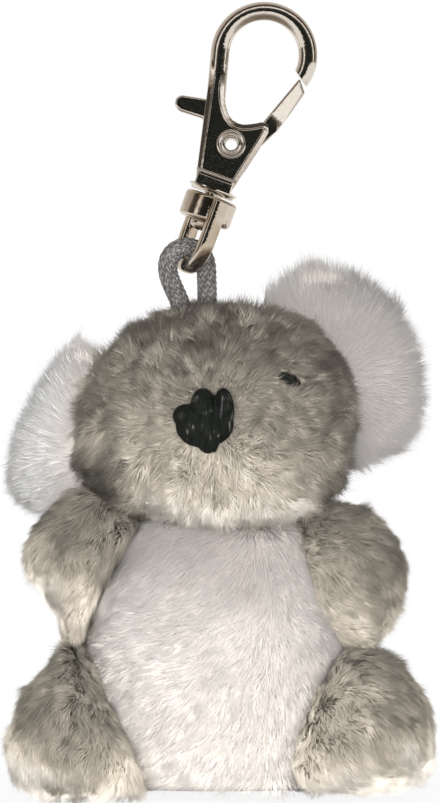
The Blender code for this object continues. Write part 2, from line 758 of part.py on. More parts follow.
def make_torso(cutters):
    back = skin_part("torso_skin", TORSO, "grey_plush")
    belly = skin_part("belly_panel", TORSO, "cream_plush")
    low = TORSO.centre - Vector((TORSO_WIDTH, TORSO_DEPTH, TORSO_HEIGHT))
    high = TORSO.centre + Vector((TORSO_WIDTH, TORSO_DEPTH, TORSO_HEIGHT))
    seam = TORSO.centre.y + SEAM_FORWARD
    front_box = box_mesh(low, (high.x, seam + SEW_GAP / 2, high.z))
    back_box = box_mesh((low.x, seam - SEW_GAP / 2, low.z), high)
    boolean(back, new_cutter("belly_side", front_box))
    boolean(belly, new_cutter("back_side", back_box))
    stuffing = stuffing_part("torso_stuffing", TORSO)
    neck = new_cutter(
        "neck_hole",
        turned_mesh(
            [
                (0, -TORSO_DROP + NECK_RADIUS),
                (NECK_RADIUS, -TORSO_DROP + NECK_RADIUS),
                (NECK_RADIUS, -TORSO_DROP - NECK_RADIUS / 2),
                (0, -TORSO_DROP - NECK_RADIUS / 2),
            ],
            LIMB_SIDES * 2,
        ),
    )
    neck.location = (TORSO.centre.x, TORSO.centre.y + NECK_RADIUS / 2, 0)
    boolean(back, neck)
    seat = new_cutter("seat_plane", box_mesh(low, (high.x, high.y, -SEAT_DROP)))
    for piece in (back, belly):
        boolean(piece, seat)
    cutters["seat"] = seat


def make_head(cutters, cord_line, knot_middle):
    head = skin_part("head_skin", HEAD, "grey_plush")
    stuffing = stuffing_part("head_stuffing", HEAD)
    cord_tube = tube_mesh(cord_line, CORD_DIAMETER / 2 + SEW_GAP, CORD_SIDES)
    cord_way = new_cutter("cord_way", cord_tube)
    knot_way = new_cutter("knot_way", knot_mesh(knot_middle, SEW_GAP))
    for piece in (head, stuffing):
        boolean(piece, cutters["torso"])
        boolean(piece, cord_way)
        boolean(piece, knot_way)


def make_limbs(cutters):
    for name, form in LIMBS.items():
        skin = skin_part(f"{name}_skin", form, "grey_plush")
        stuffing = stuffing_part(f"{name}_stuffing", form)
        side = name.rsplit("_", 1)[1]
        for piece in (skin, stuffing):
            boolean(piece, cutters["torso"])
            boolean(piece, cutters["head"])
            if name.startswith("arm"):
                boolean(piece, cutters[f"leg_{side}"])
            else:
                boolean(piece, cutters["seat"])


def make_ears(cutters):
    """Each ear is two cloth panels sewn along the rim, the front one with the long pile."""
    places = {
        "left": (-LEFT_EAR_OUT, LEFT_EAR_DROP, LEFT_EAR_LEAN, LEFT_EAR_YAW),
        "right": (RIGHT_EAR_OUT, RIGHT_EAR_DROP, RIGHT_EAR_LEAN, RIGHT_EAR_YAW),
    }
    for name, (out, drop, lean, yaw) in places.items():
        turn = Euler((0, lean, yaw))
        centre = Vector((HEAD_ACROSS + out, EAR_BACK, -drop))
        form = Form(EAR_WIDTH, EAR_THICKNESS, EAR_HEIGHT, centre, turn, EAR_SHARES, EAR_SIDES)
        for panel, side, material in (("front", -1, "ear_plush"), ("back", 1, "grey_plush")):
            piece = new_part(f"ear_{name}_{panel}", form_mesh(form), material)
            near = SEW_GAP / 2
            reach = EAR_WIDTH + EAR_HEIGHT
            low = (-reach, -reach if side > 0 else -near, -reach)
            high = (reach, near if side > 0 else reach, reach)
            half = new_cutter(f"ear_{name}_{panel}_half", box_mesh(low, high))
            half.location = centre
            half.rotation_euler = turn
            boolean(piece, half)
            boolean(piece, cutters["head"])
            boolean(piece, cutters[f"arm_{name}"], solver="MANIFOLD")


def make_face(cutters):
    """Nose and eyes, each seated on the cloth of the head where a line from the front meets it."""
    surface = form_mesh(HEAD)
    tree = BVHTree.FromPolygons(
        [vertex.co for vertex in surface.vertices], [list(face.vertices) for face in surface.polygons]
    )
    bpy.data.meshes.remove(surface)

    def seat(across, drop):
        start = Vector((HEAD_ACROSS + across, HEAD_FORWARD - HEAD_DEPTH, -drop))
        place, normal, _, _ = tree.ray_cast(start, Vector((0, 1, 0)))
        return place, normal

    place, _ = seat(NOSE_ACROSS, NOSE_DROP)
    turn = Euler((0, HEAD_ROLL, HEAD_YAW))
    nose_form = Form(
        NOSE_WIDTH, NOSE_THICKNESS, NOSE_HEIGHT, place, turn, NOSE_SHARES, LIMB_SIDES,
    )
    nose = new_part("nose", form_mesh(nose_form), "nose")
    boolean(nose, cutters["head"])
    for name, across, drop in (
        ("left", LEFT_EYE_ACROSS, LEFT_EYE_DROP),
        ("right", RIGHT_EYE_ACROSS, RIGHT_EYE_DROP),
    ):
        place, normal = seat(across, drop)
        bm = bmesh.new()
        bmesh.ops.create_uvsphere(
            bm, u_segments=LIMB_SIDES * 2, v_segments=LIMB_SIDES, radius=EYE_DIAMETER / 2,
            matrix=Matrix.Translation(place + normal * (EYE_DIAMETER / 2 - EYE_SINK)),
        )
        mesh = bpy.data.meshes.new("eye")
        bm.to_mesh(mesh)
        bm.free()
        eye = new_part(f"eye_{name}", smooth(mesh), "eye")
        boolean(eye, cutters["head"])


make_hook_body()
make_gate()
make_rivet()
make_spring()
make_stud()
make_eye()
CORD_LINE, KNOT_MIDDLE = make_cord()
FORM_CUTTERS = {
    "torso": form_cutter("torso_room", TORSO),
    "head": form_cutter("head_room", HEAD),
}
for limb, limb_form in LIMBS.items():
    FORM_CUTTERS[limb] = form_cutter(f"{limb}_room", limb_form)
make_torso(FORM_CUTTERS)
make_head(FORM_CUTTERS, CORD_LINE, KNOT_MIDDLE)
make_limbs(FORM_CUTTERS)
make_ears(FORM_CUTTERS)
make_face(FORM_CUTTERS)
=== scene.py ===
"""Plush koala charm: the furred koala, its braided cord and its nickel snap hook."""

import math

import bmesh
import bpy
import numpy as np
from bpy.props import FloatProperty, FloatVectorProperty, IntProperty, PointerProperty
from mathutils import Matrix, Vector
from mathutils.bvhtree import BVHTree
from mathutils.kdtree import KDTree


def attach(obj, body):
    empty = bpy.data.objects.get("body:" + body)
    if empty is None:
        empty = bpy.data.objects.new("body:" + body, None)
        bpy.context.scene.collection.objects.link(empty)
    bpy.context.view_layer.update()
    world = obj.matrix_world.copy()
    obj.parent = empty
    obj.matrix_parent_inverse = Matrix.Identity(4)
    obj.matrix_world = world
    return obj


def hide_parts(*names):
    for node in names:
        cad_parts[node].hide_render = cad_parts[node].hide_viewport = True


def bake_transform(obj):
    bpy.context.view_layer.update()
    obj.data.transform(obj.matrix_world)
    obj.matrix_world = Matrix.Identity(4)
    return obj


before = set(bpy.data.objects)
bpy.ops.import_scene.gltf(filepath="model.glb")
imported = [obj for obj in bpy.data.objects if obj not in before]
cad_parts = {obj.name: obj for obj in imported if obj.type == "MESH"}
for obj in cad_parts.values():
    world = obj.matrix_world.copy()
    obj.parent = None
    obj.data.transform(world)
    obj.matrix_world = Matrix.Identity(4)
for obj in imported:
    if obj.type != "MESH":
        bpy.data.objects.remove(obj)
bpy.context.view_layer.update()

bl_info = {
    "name": "Plush koala charm",
    "version": (1, 0, 0),
    "blender": (4, 5, 0),
    "location": "3D View > Sidebar > Koala",
    "description": "Furred koala on a braided cord with a nickel snap hook",
    "category": "Add Mesh",
}

MM = 0.001
SAME_PLACE = 0.002 * MM
WHITE = (1, 1, 1)
UP = Vector((0, 0, 1))
FRONT = Vector((0, -1, 0))
MAP = "OFBake"
BODY = "koala"


def length(name, millimetres, description):
    return FloatProperty(
        name=name, description=description, default=millimetres * MM, min=0.0, unit="LENGTH", precision=5
    )


def place(name, millimetres, description):
    return FloatProperty(
        name=name, description=description, default=millimetres * MM, unit="LENGTH", precision=5
    )


def angle(name, degrees, description):
    return FloatProperty(
        name=name, description=description, default=math.radians(degrees), unit="ROTATION"
    )


def number(name, value, description):
    return FloatProperty(name=name, description=description, default=value)


def count(name, value, description):
    return IntProperty(name=name, description=description, default=value, min=1)


def colour(name, value, description):
    return FloatVectorProperty(
        name=name, description=description, default=value, size=3, min=0.0, max=1.0, subtype="COLOR"
    )


class HookSizes(bpy.types.PropertyGroup):
    """Sizes of the snap hook, its gate and its swivel."""

    crown_bore: length("Crown bore radius", 4.85, "Inner radius of the crown")
    wire: length("Wire", 2.6, "Diameter of the crown's wire")
    tilt: angle("Tilt", 20, "Lean of the hook to the viewer's right")
    spine_splay: angle("Spine splay", 14.7, "Lean of the spine against the hook's own axis")
    spine: length("Spine", 7.2, "Straight part of the wire on the spine")
    nose_angle: angle("Nose angle", -24, "Where the wire ends, round the crown")
    cheek_length: length("Cheek length", 13.2, "Height of the cheeks")
    cheek_width: length("Cheek width", 10.4, "Width that the cheek outline is a share of")
    cheek_thickness: length("Cheek thickness", 4.8, "Front to back over both cheeks")
    cheek_drop: length("Cheek drop", 18.3, "Foot of the cheeks below the middle of the crown")
    rim: length("Rim", 0.66, "Width of the raised rim round the cheek's panel")
    rim_rise: length("Rim rise", 0.44, "Slope of the rim, from its outer side up to its crest")
    rim_height: length("Rim height", 0.32, "Depth of the panel inside its rim")
    edge: length("Edge", 0.26, "Rounding of the cast edges")
    collar: length("Collar", 6.9, "Diameter of the collar")
    collar_height: length("Collar height", 2.5, "Height of the collar under the cheeks")
    pocket: length("Pocket", 2.4, "Width of the slot between the cheeks")
    pocket_floor: length("Pocket floor", 1.9, "Height of the slot's floor above the cheeks' foot")
    pocket_height: length("Pocket height", 8.4, "Height of the slot")
    rivet_drop: length("Rivet drop", 13.4, "Rivet below the middle of the crown")
    rivet: length("Rivet radius", 1.25, "Radius of the rivet's barrel")
    rivet_bore: length("Rivet bore", 0.85, "Radius of the hole through the rivet")
    rivet_head: length("Rivet head", 2.05, "Radius of the rivet's rolled head")
    rivet_height: length("Rivet head height", 0.45, "How far the head stands out")
    lever: length("Lever", 2.1, "Thickness of the gate lever")
    lever_edge: length("Lever edge", 0.45, "Rounding of the lever")
    lever_reach: length("Lever reach", 12.8, "Length that the lever outline is a share of")
    spring_wire: length("Spring wire", 0.3, "Wire of the gate's spring")
    spring_radius: length("Spring radius", 1.72, "Radius of the spring's coil")
    spring_pitch: length("Spring pitch", 0.34, "Rise of the coil in one turn")
    spring_turns: number("Spring turns", 2.5, "Turns of the coil")
    stud: length("Stud", 1.2, "Radius of the swivel's stud")
    stud_head: length("Stud head", 1.75, "Radius of the peened head")
    stud_head_height: length("Stud head height", 1.2, "Height of the peened head")
    stud_socket: length("Stud socket", 2.2, "Depth of the stud in the collar")
    drum: length("Drum", 3.7, "Radius of the swivel's drum")
    drum_height: length("Drum height", 3.8, "Height of the drum")
    drum_edge: length("Drum edge", 0.7, "Rounding of the drum")
    ring: length("Ring", 3.9, "Half the width of the ring's middle line")
    ring_drop: length("Ring drop", 6.6, "Ring's bar below the drum")
    ring_width: length("Ring width", 2.3, "Width of the ring's section")
    ring_thickness: length("Ring thickness", 1.9, "Thickness of the ring's section")
    ring_turn: angle("Ring turn", 22, "Turn of the ring about the hook's axis")
    fit: length("Fit", 0.1, "Play between close metal pieces")
    swivel_gap: length("Swivel gap", 0.3, "Gap between the collar and the drum")


class CordSizes(bpy.types.PropertyGroup):
    """Sizes of the braided cord."""

    diameter: length("Diameter", 2.6, "Thickness of the cord")
    relief: length("Relief", 0.20, "Height of the braid's stitches")
    yarn: length("Stitch length", 0.78, "Length along the cord of one stitch of the braid")
    columns: count("Columns", 11, "Columns of stitches round the cord")
    knot: length("Knot", 2.5, "Half width of the sewn knot inside the head")


class PileSizes(bpy.types.PropertyGroup):
    """Length, thickness and clumping of the plush's fibres."""

    grey: length("Grey pile", 3.0, "Length of the pile on head, back and limbs")
    limb: length("Limb pile", 2.5, "Length of the pile on arms and legs")
    belly: length("Belly pile", 2.9, "Length of the pile on the belly")
    ear: length("Ear pile", 4.3, "Length of the pile on the front of the ears")
    ear_back: length("Ear back pile", 2.2, "Length of the pile on the back of the ears")
    fibre: length("Fibre", 0.052, "Radius of a tuft of fibres at its thickest")
    clump: length("Clump", 0.95, "Distance between clumps of fibres")


class Colours(bpy.types.PropertyGroup):
    """Colours of the charm."""

    # The grey plush runs from grey_deep to chin. The tone tables below push tufts to the dark end for
    # painted shade, and to the pale end partly for the chin's own paler plush and partly for painted light
    # from below.
    grey_deep: colour("Grey, deep", (0.185, 0.170, 0.140), "Darkest tufts of the grey plush")
    grey: colour("Grey", (0.490, 0.442, 0.370), "Grey plush")
    grey_light: colour("Grey, light", (0.770, 0.692, 0.585), "Lightest tufts of the grey plush")
    chin: colour("Chin", (1.000, 0.945, 0.860), "Pale plush of the chin")
    cream: colour("Cream", (1.000, 0.945, 0.890), "Pile of the belly")
    cream_deep: colour("Cream, deep", (0.440, 0.398, 0.372), "Shaded pile of the belly")
    ear: colour("Ear", (0.830, 0.758, 0.706), "Long pile of the ears")
    ear_light: colour("Ear, light", (1.000, 0.980, 0.955), "Brightest pile of the ears")
    ear_deep: colour("Ear, deep", (0.440, 0.397, 0.366), "Shaded pile of the ears")
    nickel: colour("Nickel", (0.760, 0.720, 0.665), "Nickel plating")
    tarnish: colour("Tarnish", (0.420, 0.330, 0.215), "Warm tarnish in the plating")
    cord: colour("Cord", (0.096, 0.089, 0.084), "Yarn of the cord")
    # cord_gap_shade is painted shade in the gaps between the yarns
    cord_gap_shade: colour("Cord, deep", (0.035, 0.034, 0.033), "Gaps between the cord's yarns")
    black: colour("Black", (0.004, 0.005, 0.004), "Nose thread and eyes")


class StageSizes(bpy.types.PropertyGroup):
    """Camera, lamps and floor."""

    distance: length("Distance", 700, "Camera from the object")
    middle_x: place("Middle across", -6.16, "Middle of the picture across")
    middle_z: place("Middle up", -53.36, "Middle of the picture up")
    picture: length("Picture height", 112.42, "Height that the picture takes in at the object")
    floor_drop: length("Floor gap", 1.6, "Floor below the seat, for the pile under it")
    shadow_near: length("Shadow, near", 42, "Reach of the floor's full shadow from the middle")
    shadow_fade: length("Shadow, fade", 60, "Length over which the floor's shadow fades to white")
    mirror_near: length("Mirror, near", 90, "Reach of the floor that is dark in the metal")
    mirror_fade: length("Mirror, fade", 110, "Length over which the floor in the metal turns bright")
    key: number("Key", 3.2, "Power of the front lamp in watts")
    low: number("Low lamp", 3.4, "Power of the low lamp in watts")
    top: number("Top lamp", 0.4, "Power of the upper lamp in watts")
    world: number("World", 0.80, "Strength of the light from all round")


SETTINGS = {
    "koala_hook": HookSizes,
    "koala_cord": CordSizes,
    "koala_pile": PileSizes,
    "koala_colours": Colours,
    "koala_stage": StageSizes,
}


def sizes(name):
    return getattr(bpy.context.scene, f"koala_{name}")


# Shader maths
class Value:
    """A socket that holds a number. Arithmetic on it adds Math nodes."""

    def __init__(self, finish, socket):
        self.finish = finish
        self.socket = socket

    def maths(self, operation, first, second=0.0, third=0.0):
        node = self.finish.node("ShaderNodeMath", {"operation": operation}, {0: first, 1: second, 2: third})
        return Value(self.finish, node.outputs[0])

    def __add__(self, other):
        return self.maths("ADD", self, other)

    __radd__ = __add__

    def __sub__(self, other):
        return self.maths("SUBTRACT", self, other)

    def __rsub__(self, other):
        return self.maths("SUBTRACT", other, self)

    def __mul__(self, other):
        return self.maths("MULTIPLY", self, other)

    __rmul__ = __mul__

    def __truediv__(self, other):
        return self.maths("DIVIDE", self, other)

    def __pow__(self, other):
        return self.maths("POWER", self, other)

    def clamped(self):
        return self.maths("MINIMUM", self.maths("MAXIMUM", self, 0.0), 1.0)


class Nodes:
    """A node tree with one method that adds any node."""

    def __init__(self, tree):
        self.tree = tree

    def node(self, kind, settings=None, inputs=None):
        node = self.tree.nodes.new(kind)
        for key, value in (settings or {}).items():
            if key == "stops":
                self.set_stops(node.color_ramp, value)
            else:
                setattr(node, key, value)
        for key, value in (inputs or {}).items():
            self.feed(node.inputs[key], value)
        return node

    def set_stops(self, ramp, stops):
        while len(ramp.elements) < len(stops):
            ramp.elements.new(1.0)
        for element, (position, value) in zip(ramp.elements, stops):
            element.position = position
            element.color = (*value, 1)

    def feed(self, socket, value):
        if isinstance(value, Value):
            value = value.socket
        if isinstance(value, bpy.types.NodeSocket):
            self.tree.links.new(value, socket)
        elif socket.type == "RGBA" and len(value) == 3:
            socket.default_value = (*value, 1)
        else:
            socket.default_value = value

    def parts(self, vector):
        """The three numbers of a vector."""
        split = self.node("ShaderNodeSeparateXYZ", inputs={0: vector})
        return [Value(self, output) for output in split.outputs]

    def ramp(self, value, stops):
        return self.node("ShaderNodeValToRGB", {"stops": stops}, {0: value}).outputs[0]


class Finish(Nodes):
    """A material and the nodes in it."""

    def __init__(self, name, roughness, metallic=0.0, **constants):
        self.material = bpy.data.materials.new(name)
        self.material.use_nodes = True
        super().__init__(self.material.node_tree)
        self.shader = self.tree.nodes["Principled BSDF"]
        self.shader.inputs["Roughness"].default_value = roughness
        self.shader.inputs["Metallic"].default_value = metallic
        for socket, value in constants.items():
            self.shader.inputs[socket.replace("_", " ")].default_value = value

    def set(self, **links):
        for socket, value in links.items():
            self.feed(self.shader.inputs[socket.replace("_", " ")], value)
        return self.material

    def position(self):
        return self.node("ShaderNodeTexCoord").outputs["Object"]

    def stretched(self, share):
        """Object coordinates on which a pattern is drawn out along Z."""
        inputs = {"Vector": self.position(), "Scale": (1, 1, share)}
        return self.node("ShaderNodeMapping", inputs=inputs).outputs[0]

    def along(self):
        """The two directions of the piece's own map."""
        return self.parts(self.node("ShaderNodeUVMap", {"uv_map": MAP}).outputs[0])[:2]

    def noise(self, scale, detail=2.0, roughness=0.5, vector=None):
        texture = self.node(
            "ShaderNodeTexNoise",
            inputs={
                "Vector": vector or self.position(),
                "Scale": scale,
                "Detail": detail,
                "Roughness": roughness,
            },
        )
        return Value(self, texture.outputs[0])

    def blend(self, factor, first, second, mode="MIX"):
        node = self.node(
            "ShaderNodeMix", {"data_type": "RGBA", "blend_type": mode}, {0: factor, 6: first, 7: second}
        )
        return node.outputs[2]

    def bump(self, height, distance, strength=1.0):
        return self.node(
            "ShaderNodeBump", inputs={"Height": height, "Distance": distance, "Strength": strength}
        ).outputs[0]


def grey(level):
    return (level, level, level)


def mixed_colour(first, second, amount):
    return tuple(a + (b - a) * amount for a, b in zip(first, second))


def pile_finish(name, stops, root_share, roughness=0.6, shine=0.22, sheen=0.0):
    """Fibres whose tone runs across their map and whose shade runs from root to tip."""
    finish = Finish(name, roughness, Specular_IOR_Level=shine, Sheen_Weight=sheen)
    tone, up = finish.along()
    middle = grey(0.5 + 0.5 * root_share)
    shade = finish.ramp(up, [(0.0, grey(root_share)), (0.45, middle), (0.85, WHITE), (1.0, WHITE)])
    return finish.set(Base_Color=finish.blend(1.0, finish.ramp(tone, stops), shade, "MULTIPLY"))


def cloth_finish(name, base, deep):
    """Knitted backing under the pile."""
    finish = Finish(name, 0.95)
    knit = finish.noise(1800.0, 3.0)
    patches = finish.noise(260.0, 2.0)
    tone = finish.ramp((knit * 0.6 + patches * 0.4).clamped(), [(0.3, deep), (0.7, base)])
    return finish.set(Base_Color=tone, Normal=finish.bump(knit, 0.15 * MM))


def nickel_finish(name, nickel, tarnish, warmth):
    """Polished plating with cast ripples, fine scratches and warm patches."""
    finish = Finish(name, 0.14, 1.0)
    patches = finish.noise(170.0, 3.0, 0.6)
    specks = finish.noise(1500.0, 2.0, 0.7)
    scratches = finish.noise(3200.0, 1.0, 0.5, finish.stretched(0.08))
    worn = ((patches - 0.5) * 2.4 + warmth).clamped()
    base = finish.blend(worn, nickel, tarnish)
    rough = 0.05 + patches * 0.06 + (specks - 0.45).clamped() * 0.2
    ripple = patches * 0.7 + specks * 0.2 + scratches * 0.05
    return finish.set(Base_Color=base, Roughness=rough, Normal=finish.bump(ripple, 0.10 * MM))


def cord_finish(name, base, deep):
    """Yarns that are paler on their crowns, from the braid's own map."""
    finish = Finish(name, 0.72)
    tone, height = finish.along()
    fibres = finish.noise(5200.0, 2.0)
    worn = finish.noise(700.0, 3.0)
    # light is the painted highlight on the yarns' crowns, and crown runs from painted shade in the gaps up
    # to it
    light = mixed_colour(base, WHITE, 0.07)
    crown = finish.ramp(height, [(0.08, deep), (0.40, base), (0.95, light)])
    mottle = (tone * 0.35 + fibres * 0.30 + worn * 0.35).clamped()
    shade = finish.ramp(mottle, [(0.30, grey(0.45)), (0.5, grey(0.95)), (0.70, grey(1.4))])
    return finish.set(
        Base_Color=finish.blend(1.0, crown, shade, "MULTIPLY"), Normal=finish.bump(fibres, 0.08 * MM)
    )


def thread_finish(name, base):
    """Satin stitched thread with a soft shine."""
    finish = Finish(name, 0.4, Specular_IOR_Level=0.02, Coat_Roughness=0.12)
    threads = finish.noise(2600.0, 2.0, 0.5, finish.stretched(0.12))
    worn = finish.noise(500.0, 3.0)
    # soft and painted_glint are paler flecks in the thread's colour, where the threads and worn noise are
    # high: painted glints
    soft, painted_glint = mixed_colour(base, WHITE, 0.006), mixed_colour(base, WHITE, 0.12)
    tone = finish.ramp((threads * 0.6 + worn * 0.4).clamped(), [(0.35, base), (0.60, soft), (0.70, painted_glint)])
    return finish.set(
        Base_Color=tone,
        Roughness=0.22 + threads * 0.35,
        Coat_Weight=((worn - 0.60) * 9).clamped(),
        Normal=finish.bump(threads, 0.12 * MM),
    )


def bead_finish(name, base):
    finish = Finish(name, 0.08, Specular_IOR_Level=0.1)
    dust = finish.noise(900.0, 2.0)
    return finish.set(
        Base_Color=finish.ramp(dust, [(0.4, base), (0.8, mixed_colour(base, WHITE, 0.02))]),
        Roughness=0.05 + dust * 0.08,
    )


# Mesh tools
def added(name, data):
    """A new object in the scene."""
    obj = bpy.data.objects.new(name, data)
    bpy.context.scene.collection.objects.link(obj)
    return obj


def new_object(name, mesh, material):
    mesh.materials.clear()
    mesh.materials.append(material)
    return added(name, mesh)


def evaluated_mesh(obj):
    bpy.context.view_layer.update()
    return bpy.data.meshes.new_from_object(obj.evaluated_get(bpy.context.evaluated_depsgraph_get()))


def apply_modifiers(obj):
    mesh = evaluated_mesh(obj)
    obj.modifiers.clear()
    obj.data = mesh
    return obj


def to_mesh(bm, name="piece"):
    mesh = bpy.data.meshes.new(name)
    bm.to_mesh(mesh)
    bm.free()
    return mesh


def opened(mesh):
    """The mesh as a bmesh that takes its place."""
    bm = bmesh.new()
    bm.from_mesh(mesh)
    bpy.data.meshes.remove(mesh)
    return bm


def closed_mesh(bm):
    """The mesh with its doubles merged and its faces turned outwards."""
    bmesh.ops.remove_doubles(bm, verts=bm.verts, dist=SAME_PLACE)
    bmesh.ops.recalc_face_normals(bm, faces=bm.faces)
    return to_mesh(bm)


def shaded(mesh, sharp=40):
    mesh.shade_smooth()
    if sharp < 180:
        mesh.set_sharp_from_angle(angle=math.radians(sharp))
    return mesh


SQUARENESS_OF_SECTION = 0.45


def swept_mesh(points, radius, sides, section=None):
    """Rod along points, with a round section, or one as wide and thick as section says."""
    line = bpy.data.curves.new("line", "CURVE")
    line.dimensions = "3D"
    line.use_fill_caps = True
    spline = line.splines.new("POLY")
    spline.points.add(len(points) - 1)
    for point, where in zip(spline.points, points):
        point.co = (*where, 1)
    helpers = [added("line", line)]
    if section:
        outline = bpy.data.curves.new("outline", "CURVE")
        outline.dimensions = "2D"
        ring = outline.splines.new("POLY")
        ring.points.add(sides - 1)
        for step, point in enumerate(ring.points):
            turn = math.tau * step / sides
            square = 1.0 / max(abs(math.cos(turn)), abs(math.sin(turn))) ** SQUARENESS_OF_SECTION
            point.co = (
                section[0] / 2 * math.cos(turn) * square,
                section[1] / 2 * math.sin(turn) * square,
                0,
                1,
            )
        ring.use_cyclic_u = True
        helpers.append(added("outline", outline))
        line.bevel_mode = "OBJECT"
        line.bevel_object = helpers[1]
    else:
        line.bevel_depth = radius
        line.bevel_resolution = sides // 4
    mesh = evaluated_mesh(helpers[0])
    for helper in helpers:
        curve = helper.data
        bpy.data.objects.remove(helper)
        bpy.data.curves.remove(curve)
    return closed_mesh(opened(mesh))


def turned_mesh(profile, steps=64):
    """Profile of radius and height turned about Z."""
    bm = bmesh.new()
    ring = [bm.verts.new((radius, 0, height)) for radius, height in profile]
    edges = [bm.edges.new(pair) for pair in zip(ring, ring[1:])]
    if profile[0][0] > 0:
        edges.append(bm.edges.new((ring[-1], ring[0])))
    bmesh.ops.spin(
        bm, geom=ring + edges, cent=(0, 0, 0), axis=(0, 0, 1), angle=math.tau, steps=steps, use_merge=True
    )
    return closed_mesh(bm)


def plate_bmesh(outline, thickness):
    """Flat outline in X and Z, given thickness along Y about its middle."""
    bm = bmesh.new()
    face = bm.faces.new([bm.verts.new((across, -thickness / 2, up)) for across, up in outline])
    grown = bmesh.ops.extrude_face_region(bm, geom=[face])
    moved = [item for item in grown["geom"] if isinstance(item, bmesh.types.BMVert)]
    bmesh.ops.translate(bm, vec=(0, thickness, 0), verts=moved)
    bmesh.ops.recalc_face_normals(bm, faces=bm.faces)
    return bm


def round_off(bm, width, segments=3, steepest=25):
    """Round every edge that turns by more than the angle given."""
    least = math.radians(steepest)
    edges = [edge for edge in bm.edges if edge.is_manifold and edge.calc_face_angle() > least]
    bmesh.ops.bevel(
        bm, geom=edges, offset=width, affect="EDGES", segments=segments, profile=0.5, material=-1,
        clamp_overlap=True,
    )


def flat_faces(bm):
    """The front and back faces of a plate."""
    return [face for face in bm.faces if abs(face.normal.y) > 0.99]


def box_mesh(low, high):
    bm = bmesh.new()
    size = [top - bottom for bottom, top in zip(low, high)]
    middle = [(top + bottom) / 2 for bottom, top in zip(low, high)]
    bmesh.ops.create_cube(bm, size=1, matrix=Matrix.LocRotScale(middle, None, size))
    return to_mesh(bm)


def rod_mesh(radius, length_of, middle=(0, 0, 0), sides=48):
    bm = bmesh.new()
    lay = Matrix.Translation(middle) @ Matrix.Rotation(math.pi / 2, 4, "X")
    bmesh.ops.create_cone(
        bm, cap_ends=True, segments=sides, radius1=radius, radius2=radius, depth=length_of, matrix=lay
    )
    return to_mesh(bm)


def joined(target, *steps):
    """Boolean steps of operation and mesh on a piece, applied at once."""
    tools = []
    for operation, mesh in steps:
        tool = added("tool", mesh)
        change = target.modifiers.new(operation.lower(), "BOOLEAN")
        change.operation = operation
        change.solver = "EXACT"
        change.object = tool
        tools.append(tool)
    apply_modifiers(target)
    for tool in tools:
        bpy.data.objects.remove(tool)
    if not target.data.polygons:
        raise RuntimeError(f"{target.name} has nothing left after its boolean steps")
    return target


def metal_piece(name, obj, body, matrix, sharp=40):
    """A finished metal piece in its place, with flat faces that reflect flat."""
    obj.name = name + "_bright"
    obj.data.transform(matrix)
    shaded(obj.data, sharp)
    level = obj.modifiers.new("level", "WEIGHTED_NORMAL")
    level.weight = 90
    level.keep_sharp = True
    apply_modifiers(obj)
    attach(obj, body)
    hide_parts(name)
    return obj


# The snap hook. The outlines are shares of the cheek's width and length, or of the lever's reach
CHEEK_OUTLINE = [
    (-0.298, -0.07), (0.221, -0.07), (0.420, 0.590), (0.400, 0.682), (0.308, 0.716), (0.177, 0.650),
    (0.021, 0.597), (-0.130, 0.621), (-0.250, 0.735), (-0.330, 0.871), (-0.372, 1.0), (-0.422, 1.150),
    (-0.480, 1.300), (-0.674, 1.300), (-0.640, 1.150), (-0.592, 1.0), (-0.534, 0.758),
]
CHEEK_FOOT = 2
CHEEK_CORNERS = (0, 1, 12, 13)
LEVER_OUTLINE = [
    (-0.434, 0.375), (-0.690, 0.325), (-0.735, 0.290), (-0.742, 0.235), (-0.715, 0.180),
    (-0.650, 0.152), (-0.394, 0.164), (-0.225, -0.040), (-0.150, -0.160), (-0.010, -0.212),
    (0.135, -0.165), (0.225, -0.040), (0.330, 0.130), (0.433, 0.345), (0.566, 0.800),
    (0.452, 0.940), (0.300, 0.515), (0.232, 0.320), (0.090, 0.235), (-0.120, 0.262),
]
# The lever's arm: its lean, where its face starts and stops turning, and how far it turns
ARM_ANGLE = math.radians(22)
ARM_TURNS = (0.44, 0.56)
ARM_MIDDLE = -0.155
ARM_SLANT = 0.27
# The cut between the crown's wire and the tip of the lever
TIP = (0.508, 0.888)
TIP_ANGLE = math.radians(36)
TIP_GAP = 0.25 * MM
# How the cheeks thin towards the crown
TAPER_TOP = 1.25
TAPER_LENGTH = 0.62
TAPER_END = 0.6
# The collar's two blocks in millimetres: how much wider than the cheeks, start, end and rounding
COLLAR_BLOCK = (-0.06, 0.5, 0.2, 0.24)
COLLAR_BEAD = (0.3, -0.1, 0.35, 0.2)
COLLAR_LIP = 0.28 * MM
COLLAR_SHIFT = 0.6
# The rivet's head: shares of the way out from its bore and of its height
RIVET_RINGS = [
    (0.0, 0.30), (0.06, 0.62), (0.20, 0.80), (0.34, 0.66), (0.44, 0.40), (0.56, 0.42), (0.66, 0.78),
    (0.78, 1.0), (0.90, 0.86), (1.0, 0.42), (1.0, 0.0),
]
DRUM_SHOULDER = 0.7
LEG_SUNK = 0.6


def hook_matrix(hook):
    return Matrix.Translation((0, 0, -hook.crown_bore)) @ Matrix.Rotation(hook.tilt, 4, "Y")


def rivet_matrix(hook):
    return hook_matrix(hook) @ Matrix.Translation((0, 0, -hook.rivet_drop))


def crown_points(hook, steps=96):
    """Up the spine and over the crown to the nose."""
    radius = hook.crown_bore + hook.wire / 2
    first = math.pi + hook.spine_splay
    sweep = first - hook.nose_angle
    points = []
    for step in range(steps + 1):
        turn = first - sweep * step / steps
        points.append(Vector((radius * math.cos(turn), 0, radius * math.sin(turn))))
    down = Vector((math.sin(hook.spine_splay), 0, -math.cos(hook.spine_splay)))
    spine = [points[0] + down * hook.spine * part / 8 for part in range(8, 0, -1)]
    return spine + points


def rounded_outline(points, corners=()):
    """The same outline cut softer, but for the corners given."""
    softer = []
    for index, point in enumerate(points):
        if index in corners:
            softer.append(point)
            continue
        for other in (points[index - 1], points[(index + 1) % len(points)]):
            softer.append(tuple(a + (b - a) * 0.25 for a, b in zip(point, other)))
    return softer


